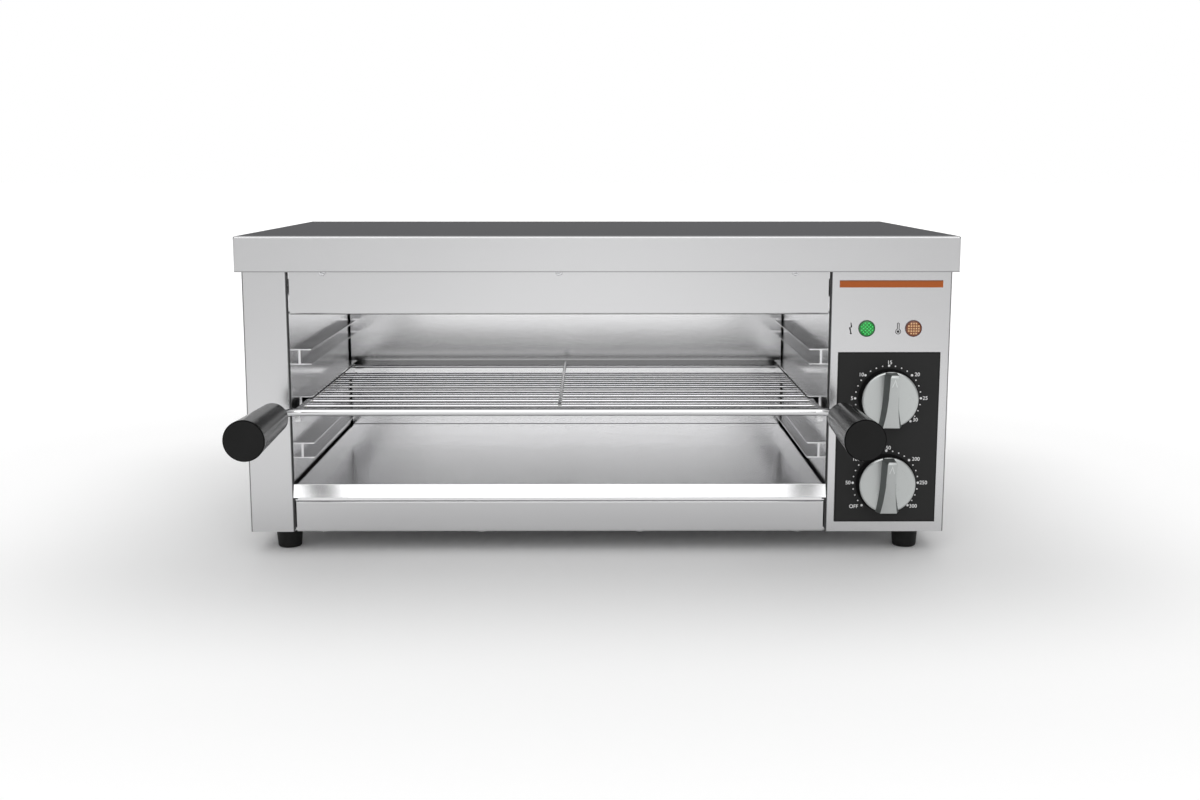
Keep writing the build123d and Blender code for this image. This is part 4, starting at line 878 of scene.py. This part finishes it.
# Lamps
# Snap-in neon lamps with tinted polycarbonate lenses. A lattice of small pyramids moulded into the front
# spreads the light, so it looks pale, and the thicker rim looks darker than the front.
LENS_RADIUS = 0.0071
LENS_RIM = 0.0008
LENS_FACE = 0.0010
LENS_CROWN = 0.0011
LATTICE_PITCH = 0.0021
LATTICE_HEIGHT = 0.0004
LATTICE_REACH = 4
STUD_FOOT = 0.48
STUD_TOP = 0.34
LENS_SIDES = 64
LENS_SHOULDER = 1.3
LENS_GRAIN = 0.002

grid_tree, grid_in, grid_end = growing_tree("lens_lattice", {
    "Points": "Geometry", "Radius": "Float", "Pitch": "Float", "Reach": "Int", "Crown": "Float",
    "Height": "Float", "Turn": "Float", "Finish": "Material"})
rows = combine(grid_tree, "ADD", combine(grid_tree, "MULTIPLY", grid_in["Reach"], 2.0), 1.0)
span = combine(grid_tree, "MULTIPLY", grid_in["Reach"], grid_in["Pitch"], 2.0)
grid = add(grid_tree, "GeometryNodeMeshGrid", {
    "Size X": span, "Size Y": span, "Vertices X": rows, "Vertices Y": rows})
turn_vector = add(grid_tree, "ShaderNodeCombineXYZ", {"Z": grid_in["Turn"]}).outputs[0]
turned_grid = add(grid_tree, "GeometryNodeTransform", {
    "Geometry": grid.outputs["Mesh"], "Rotation": turn_vector})
grid_points = add(grid_tree, "GeometryNodeMeshToPoints", {"Mesh": turned_grid.outputs[0]})
grid_place = add(grid_tree, "GeometryNodeInputPosition").outputs[0]
reach = add(grid_tree, "ShaderNodeVectorMath", {0: grid_place}, operation="LENGTH").outputs["Value"]
half_pitch = combine(grid_tree, "MULTIPLY", grid_in["Pitch"], 0.5)
last_place = combine(grid_tree, "SUBTRACT", grid_in["Radius"], half_pitch)
too_far = combine(grid_tree, "GREATER_THAN", reach, last_place)
kept = add(grid_tree, "GeometryNodeDeleteGeometry", {
    "Geometry": grid_points.outputs[0], "Selection": too_far}, domain="POINT")
fall = combine(grid_tree, "POWER", combine(grid_tree, "DIVIDE", reach, grid_in["Radius"]), 2.0)
rise = combine(grid_tree, "MULTIPLY", grid_in["Crown"], combine(grid_tree, "SUBTRACT", 1.0, fall))
offset = add(grid_tree, "ShaderNodeCombineXYZ", {"Z": rise}).outputs[0]
raised = add(grid_tree, "GeometryNodeSetPosition", {"Geometry": kept.outputs[0], "Offset": offset})
cone_turn = combine(grid_tree, "ADD", grid_in["Turn"], math.pi / 4)
cone_turn = add(grid_tree, "ShaderNodeCombineXYZ", {"Z": cone_turn}).outputs[0]
cone = add(grid_tree, "GeometryNodeMeshCone", {
    "Vertices": 4, "Depth": grid_in["Height"],
    "Radius Top": combine(grid_tree, "MULTIPLY", grid_in["Pitch"], STUD_TOP),
    "Radius Bottom": combine(grid_tree, "MULTIPLY", grid_in["Pitch"], STUD_FOOT)})
studs = add(grid_tree, "GeometryNodeInstanceOnPoints", {
    "Points": raised.outputs[0], "Instance": cone.outputs["Mesh"], "Rotation": cone_turn})
close_tree(grid_tree, studs.outputs[0], grid_in["Finish"], grid_end)

LAMPS = [("power", "green", "#129A38", "#46EC74", "#14522A", 45.0),
         ("heating", "amber", "#8E4C24", "#EFC08C", "#5A2E2A", 0.0)]
for use, glass, colour, stud_colour, rim_colour, lattice_turn in LAMPS:
    node = use + "_lamp_lens"
    lens_middle = middle(node)
    clear = moulded(glass + "_polycarbonate", colour, 0.16, LENS_GRAIN, 0.05, 0.06, Coat_Weight=0.4,
                    Transmission_Weight=0.15)
    studded = moulded(glass + "_polycarbonate_studs", stud_colour, 0.16, LENS_GRAIN, 0.05, 0.06,
                      Coat_Weight=0.4)
    thick = moulded(glass + "_polycarbonate_rim", rim_colour, 0.2, LENS_GRAIN, 0.05, 0.06, Coat_Weight=0.4)
    face_radius = LENS_RADIUS - LENS_RIM
    dome = [(face_radius * share, LENS_FACE + LENS_CROWN * (1 - share ** 2))
            for share in (1.0, 0.8, 0.6, 0.4, 0.2)]
    shoulder = LENS_SHOULDER * LENS_FACE
    lens = turned([(0, 0), (LENS_RADIUS, 0), (LENS_RADIUS, LENS_FACE), (LENS_RADIUS - LENS_RIM / 3, shoulder),
                   (face_radius, shoulder)] + dome + [(0, LENS_FACE + LENS_CROWN)], LENS_SIDES)
    seat = Matrix.Translation((lens_middle.x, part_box(node)[1].y, lens_middle.z)) @ FACING_FRONT
    lens_mesh = mesh_from(lens, node + "_body", seat)
    lens_mesh.materials.append(clear)
    finish_faces(lens_mesh, [thick], lambda face: (
        face.center - lens_middle).xz.length > face_radius - LENS_RIM / 4)
    place_piece(node + "_body", lens_mesh, [node])
    lattice = grown(node + "_lattice", grid_tree, [], {
        "Radius": face_radius, "Pitch": LATTICE_PITCH, "Reach": LATTICE_REACH, "Crown": LENS_CROWN,
        "Height": LATTICE_HEIGHT, "Turn": math.radians(lattice_turn), "Finish": studded})
    lattice.transform(seat @ Matrix.Translation((0, 0, LENS_FACE)))
    place_piece(node + "_lattice", lattice)


# Lamp signs
# A zigzag beside the power lamp and a thermometer beside the heating lamp, printed straight on the steel
# in dark ink, which lies flat and takes a dull shine.
SIGN_COLOUR = "#101010"
SIGN_GREY = "#303030"
ZIGZAG_STEP = 0.0137
THERMOMETER_STEP = 0.0129
ZIGZAG = [(-0.0001, 0.0050), (0.0006, 0.0049), (0.0014, 0.0012), (-0.0001, 0.0010), (0.0007, -0.0036),
          (0.0013, -0.0040), (0.0009, -0.0049), (-0.0002, -0.0049), (-0.0006, -0.0040), (-0.0001, -0.0035),
          (-0.0014, 0.0008), (-0.0013, 0.0004), (0.0003, 0.0006)]
STEM_HALF = 0.00105
BULB_RADIUS = 0.0024
BULB_DROP = -0.0027
STEM_TOP = 0.0039
SIGN_LINE = 0.0006
CORE_RADIUS = 0.0011

dark_print = moulded("screen_printed_black", SIGN_COLOUR, 0.5, PRINT_GRAIN, 0.1, 0.03, specular=0.3)
grey_print = moulded("screen_printed_grey", SIGN_GREY, 0.5, PRINT_GRAIN, 0.1, 0.03, specular=0.3)
casing_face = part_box("control_casing")[0].y
power_lamp, heating_lamp = middle("power_lamp_lens"), middle("heating_lamp_lens")


def thermometer_outline(inset):
    """The stem's round top and the bulb's arc, drawn in by inset."""
    stem = STEM_HALF - inset
    bulb = BULB_RADIUS - inset
    top_arc = even(0, math.pi, 7)
    meeting = math.asin(stem / bulb)
    bulb_arc = even(math.pi / 2 + meeting, math.pi * 5 / 2 - meeting, 25)
    return ([(stem * math.cos(angle), STEM_TOP + stem * math.sin(angle)) for angle in top_arc]
            + [(bulb * math.cos(angle), BULB_DROP + bulb * math.sin(angle)) for angle in bulb_arc])


def layer(outline, height):
    """An outline's points at one height."""
    return [(x, y, height) for x, y in outline]


sign_place = Matrix.Translation((power_lamp.x - ZIGZAG_STEP, casing_face, power_lamp.z)) @ FACING_FRONT
zigzag = bmesh.new()
lofted(zigzag, [layer(ZIGZAG, height) for height in (0.0, PRINT_THICKNESS)])
place_piece("power_sign", mesh_from(zigzag, "power_sign", sign_place), finish=dark_print)
thermometer = bmesh.new()
outer, inner = thermometer_outline(0.0), thermometer_outline(SIGN_LINE)
loops = [layer(outer, 0.0), layer(outer, PRINT_THICKNESS), layer(inner, PRINT_THICKNESS), layer(inner, 0.0)]
lofted(thermometer, loops, ring=True)
sign_place = Matrix.Translation((heating_lamp.x - THERMOMETER_STEP, casing_face, power_lamp.z)) @ FACING_FRONT
place_piece("heating_sign", mesh_from(thermometer, "heating_sign", sign_place),
            finish=grey_print)
core = turned([(0, 0), (CORE_RADIUS, 0), (CORE_RADIUS, PRINT_THICKNESS), (0, PRINT_THICKNESS)], 24)
core_place = sign_place @ Matrix.Translation((0, BULB_DROP, 0))
place_piece("heating_sign_core", mesh_from(core, "heating_sign_core", core_place),
            finish=dark_print)


# Screws
# Pan-head machine screws with a cross recess, zinc plated: bright, with fine turning marks on the head
# and a dark recess. They hold the upper fascia, the base pan and the rear panel.
SCREW_COLOUR = "#E8E8EA"
PLATING_GRAIN = (0.0008, 0.0008, 0.0008)
SCREW_SIDES = 32
SMALL_SHANK = 0.0015
BASE_SHANK = 0.002
REAR_HEAD = 0.003
FACING_REAR = Matrix.Rotation(-math.pi / 2, 4, "X")
FACING_DOWN = Matrix.Rotation(math.pi, 4, "X")

fastener_steel = brushed("zinc_plated_screw", SCREW_COLOUR, 0.3, 0.05, PLATING_GRAIN, 0.01, 0.15)


def place_screws(node, places, head_radius, head_height, shank_radius, length, facing, spin_limit, seed):
    """Pan-head screws, each cut by a cross-shaped punch, at the places of their seats."""
    form = turned([(0, -length), (shank_radius * 0.8, -length), (shank_radius, -length + shank_radius * 0.3),
                   (shank_radius, 0), (head_radius * 0.97, 0), (head_radius, head_height * 0.15),
                   (head_radius * 0.96, head_height * 0.5), (head_radius * 0.82, head_height * 0.82),
                   (head_radius * 0.5, head_height * 0.97), (0, head_height)], SCREW_SIDES)
    arm, slot_half = head_radius * 0.52, head_radius * 0.13
    cross = [(slot_half, slot_half), (slot_half, arm), (-slot_half, arm)]
    cross = [(x * math.cos(turn_by) - y * math.sin(turn_by), x * math.sin(turn_by) + y * math.cos(turn_by))
             for turn_by in even(0, 1.5 * math.pi, 4) for x, y in cross]
    punch_form = bmesh.new()
    lofted(punch_form, [[(x, y, head_height * share) for x, y in cross] for share in (0.35, 1.5)])
    blank = in_scene(node + "_blank", mesh_from(form, node))
    punch = in_scene(node + "_punch", mesh_from(punch_form, node + "_punch"))
    cut = blank.modifiers.new("recess", "BOOLEAN")
    cut.operation = "DIFFERENCE"
    cut.solver = "EXACT"
    cut.object = punch
    made = as_mesh(blank)
    bpy.data.objects.remove(blank)
    bpy.data.objects.remove(punch)
    made.transform(facing)
    made = stamp(node + "_cut", made, places, fastener_steel, spin_limit, seed)
    place_piece(node + "_cut", made, [node])


low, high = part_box("fascia_screws")
seat_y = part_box("upper_fascia")[0].y
head = (high.z - low.z) / 2
places = [(x, seat_y, (low.z + high.z) / 2) for x in even(low.x, high.x, 3, head)]
place_screws("fascia_screws", places, head, seat_y - low.y, SMALL_SHANK, high.y - seat_y, FACING_FRONT,
             (0.0, math.pi, 0.0), 5)
low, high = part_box("base_screws")
seat_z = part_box("lower_fascia")[0].z
head = (high.y - low.y) / 2
places = [(x, (low.y + high.y) / 2, seat_z) for x in even(low.x, high.x, 4, head)]
place_screws("base_screws", places, head, seat_z - low.z, BASE_SHANK, high.z - seat_z, FACING_DOWN,
             (0.0, 0.0, math.pi), 6)
low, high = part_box("rear_screws")
back_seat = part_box("rear_panel")[1].y
places = [(x, back_seat, z) for x in (low.x + REAR_HEAD, high.x - REAR_HEAD)
          for z in even(low.z, high.z, 3, REAR_HEAD)]
place_screws("rear_screws", places, REAR_HEAD, high.y - back_seat, SMALL_SHANK, back_seat - low.y,
             FACING_REAR, (0.0, math.pi, 0.0), 7)
finish_nodes(fastener_steel, "switch_screws", "foot_screws", "foot_nuts", "timer_shaft", "thermostat_shaft")


# Feet
# Four feet of moulded black rubber, each held by a screw from below: a thin collar under the casing, a
# tapering side and a round lower edge. Rubber is matt, with a bloom of fine grey dust.
FOOT_COLOUR = "#141414"
RUBBER_GRAIN = 0.0008
FOOT_SIDES = 48
FOOT_REACH = 0.011
FOOT_RECESS = 0.0055
FOOT_RECESS_DEPTH = 0.008
FOOT_HOLE = 0.0027
FOOT_TOE = [(0.0084, 0), (0.0095, 0.0003), (0.0101, 0.0010), (0.0104, 0.0022)]
FOOT_COLLAR = [(0.0117, 0.0020), (0.0119, 0.0016), (0.0119, 0.0003), (0.0117, 0)]

rubber = moulded("moulded_rubber", FOOT_COLOUR, 0.62, RUBBER_GRAIN, 0.3, 0.12, specular=0.3)
low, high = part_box("rubber_feet")
foot_height = high.z - low.z
foot_outline = [(FOOT_RECESS, 0)] + FOOT_TOE + [(radius, foot_height - drop) for radius, drop in FOOT_COLLAR]
foot_outline += [(FOOT_HOLE, foot_height), (FOOT_HOLE, FOOT_RECESS_DEPTH), (FOOT_RECESS, FOOT_RECESS_DEPTH)]
foot_form = mesh_from(turned(foot_outline, FOOT_SIDES, closed=True), "foot")
places = [(x, y, 0.0) for x in (low.x + FOOT_REACH, high.x - FOOT_REACH)
          for y in (low.y + FOOT_REACH, high.y - FOOT_REACH)]
feet = stamp("rubber_feet_moulded", foot_form, places, rubber)
place_piece("rubber_feet_moulded", feet, ["rubber_feet"])


# Cable gland
# A moulded nylon gland in the rear panel, black and half matt, locked by a hexagon nut inside. Its cap is
# fluted for the fingers and open in the middle.
GLAND_COLOUR = "#151515"
GLAND_SIDES = 96
GLAND_COLLAR = 0.006
GLAND_BORE = 0.005
GLAND_FOOT = [(GLAND_BORE, 0), (0.0098, 0), (0.0106, 0.0005, 0.0006)]
GLAND_NOSE = [(0.0106, 0.004, 0.0006), (0.0098, 0.0025), (0.0080, 0.0004), (0.0070, 0),
              (GLAND_BORE + 0.0003, 0), (GLAND_BORE, 0.0003)]

gland_nylon = moulded("moulded_gland_nylon", GLAND_COLOUR, 0.45, NYLON_GRAIN, 0.15, 0.05, specular=0.4)
finish_nodes(gland_nylon, "cable_gland", "gland_nut")
gland_middle = middle("cable_gland")
cap_back = back_seat + GLAND_COLLAR
cap_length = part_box("cable_gland")[1].y - cap_back
cap_outline = GLAND_FOOT + [(radius, cap_length - drop, *flute) for radius, drop, *flute in GLAND_NOSE]
gland_cap = turned(cap_outline, GLAND_SIDES, closed=True)
gland_place = Matrix.Translation((gland_middle.x, cap_back, gland_middle.z)) @ FACING_REAR
place_piece("gland_cap", mesh_from(gland_cap, "gland_cap", gland_place), finish=gland_nylon)


# Inner parts
# Behind the control column: switch cases and lamp bodies of moulded urea, ivory and half matt, a drawn
# copper capillary with a warm soft gloss, and wires in a sleeve of woven glass, which is pale and dull.
UREA_COLOUR = "#DAD5C4"
UREA_GRAIN = 0.0012
COPPER_COLOUR = "#C98A62"
COPPER_GRAIN = (0.01, 0.01, 0.0008)
SLEEVE_COLOUR = "#CFCBBE"
SLEEVE_GRAIN = 0.0007

urea = moulded("moulded_urea", UREA_COLOUR, 0.45, UREA_GRAIN, 0.1)
copper = brushed("drawn_copper", COPPER_COLOUR, 0.3, 0.05, COPPER_GRAIN, 0.02, 0.05)
sleeve = moulded("glass_braid_sleeve", SLEEVE_COLOUR, 0.8, SLEEVE_GRAIN, 0.8, 0.15)
finish_nodes(urea, "timer_case", "thermostat_case", "lamp_bodies")
finish_nodes(copper, "capillary_tube")
finish_nodes(sleeve, "internal_wiring")
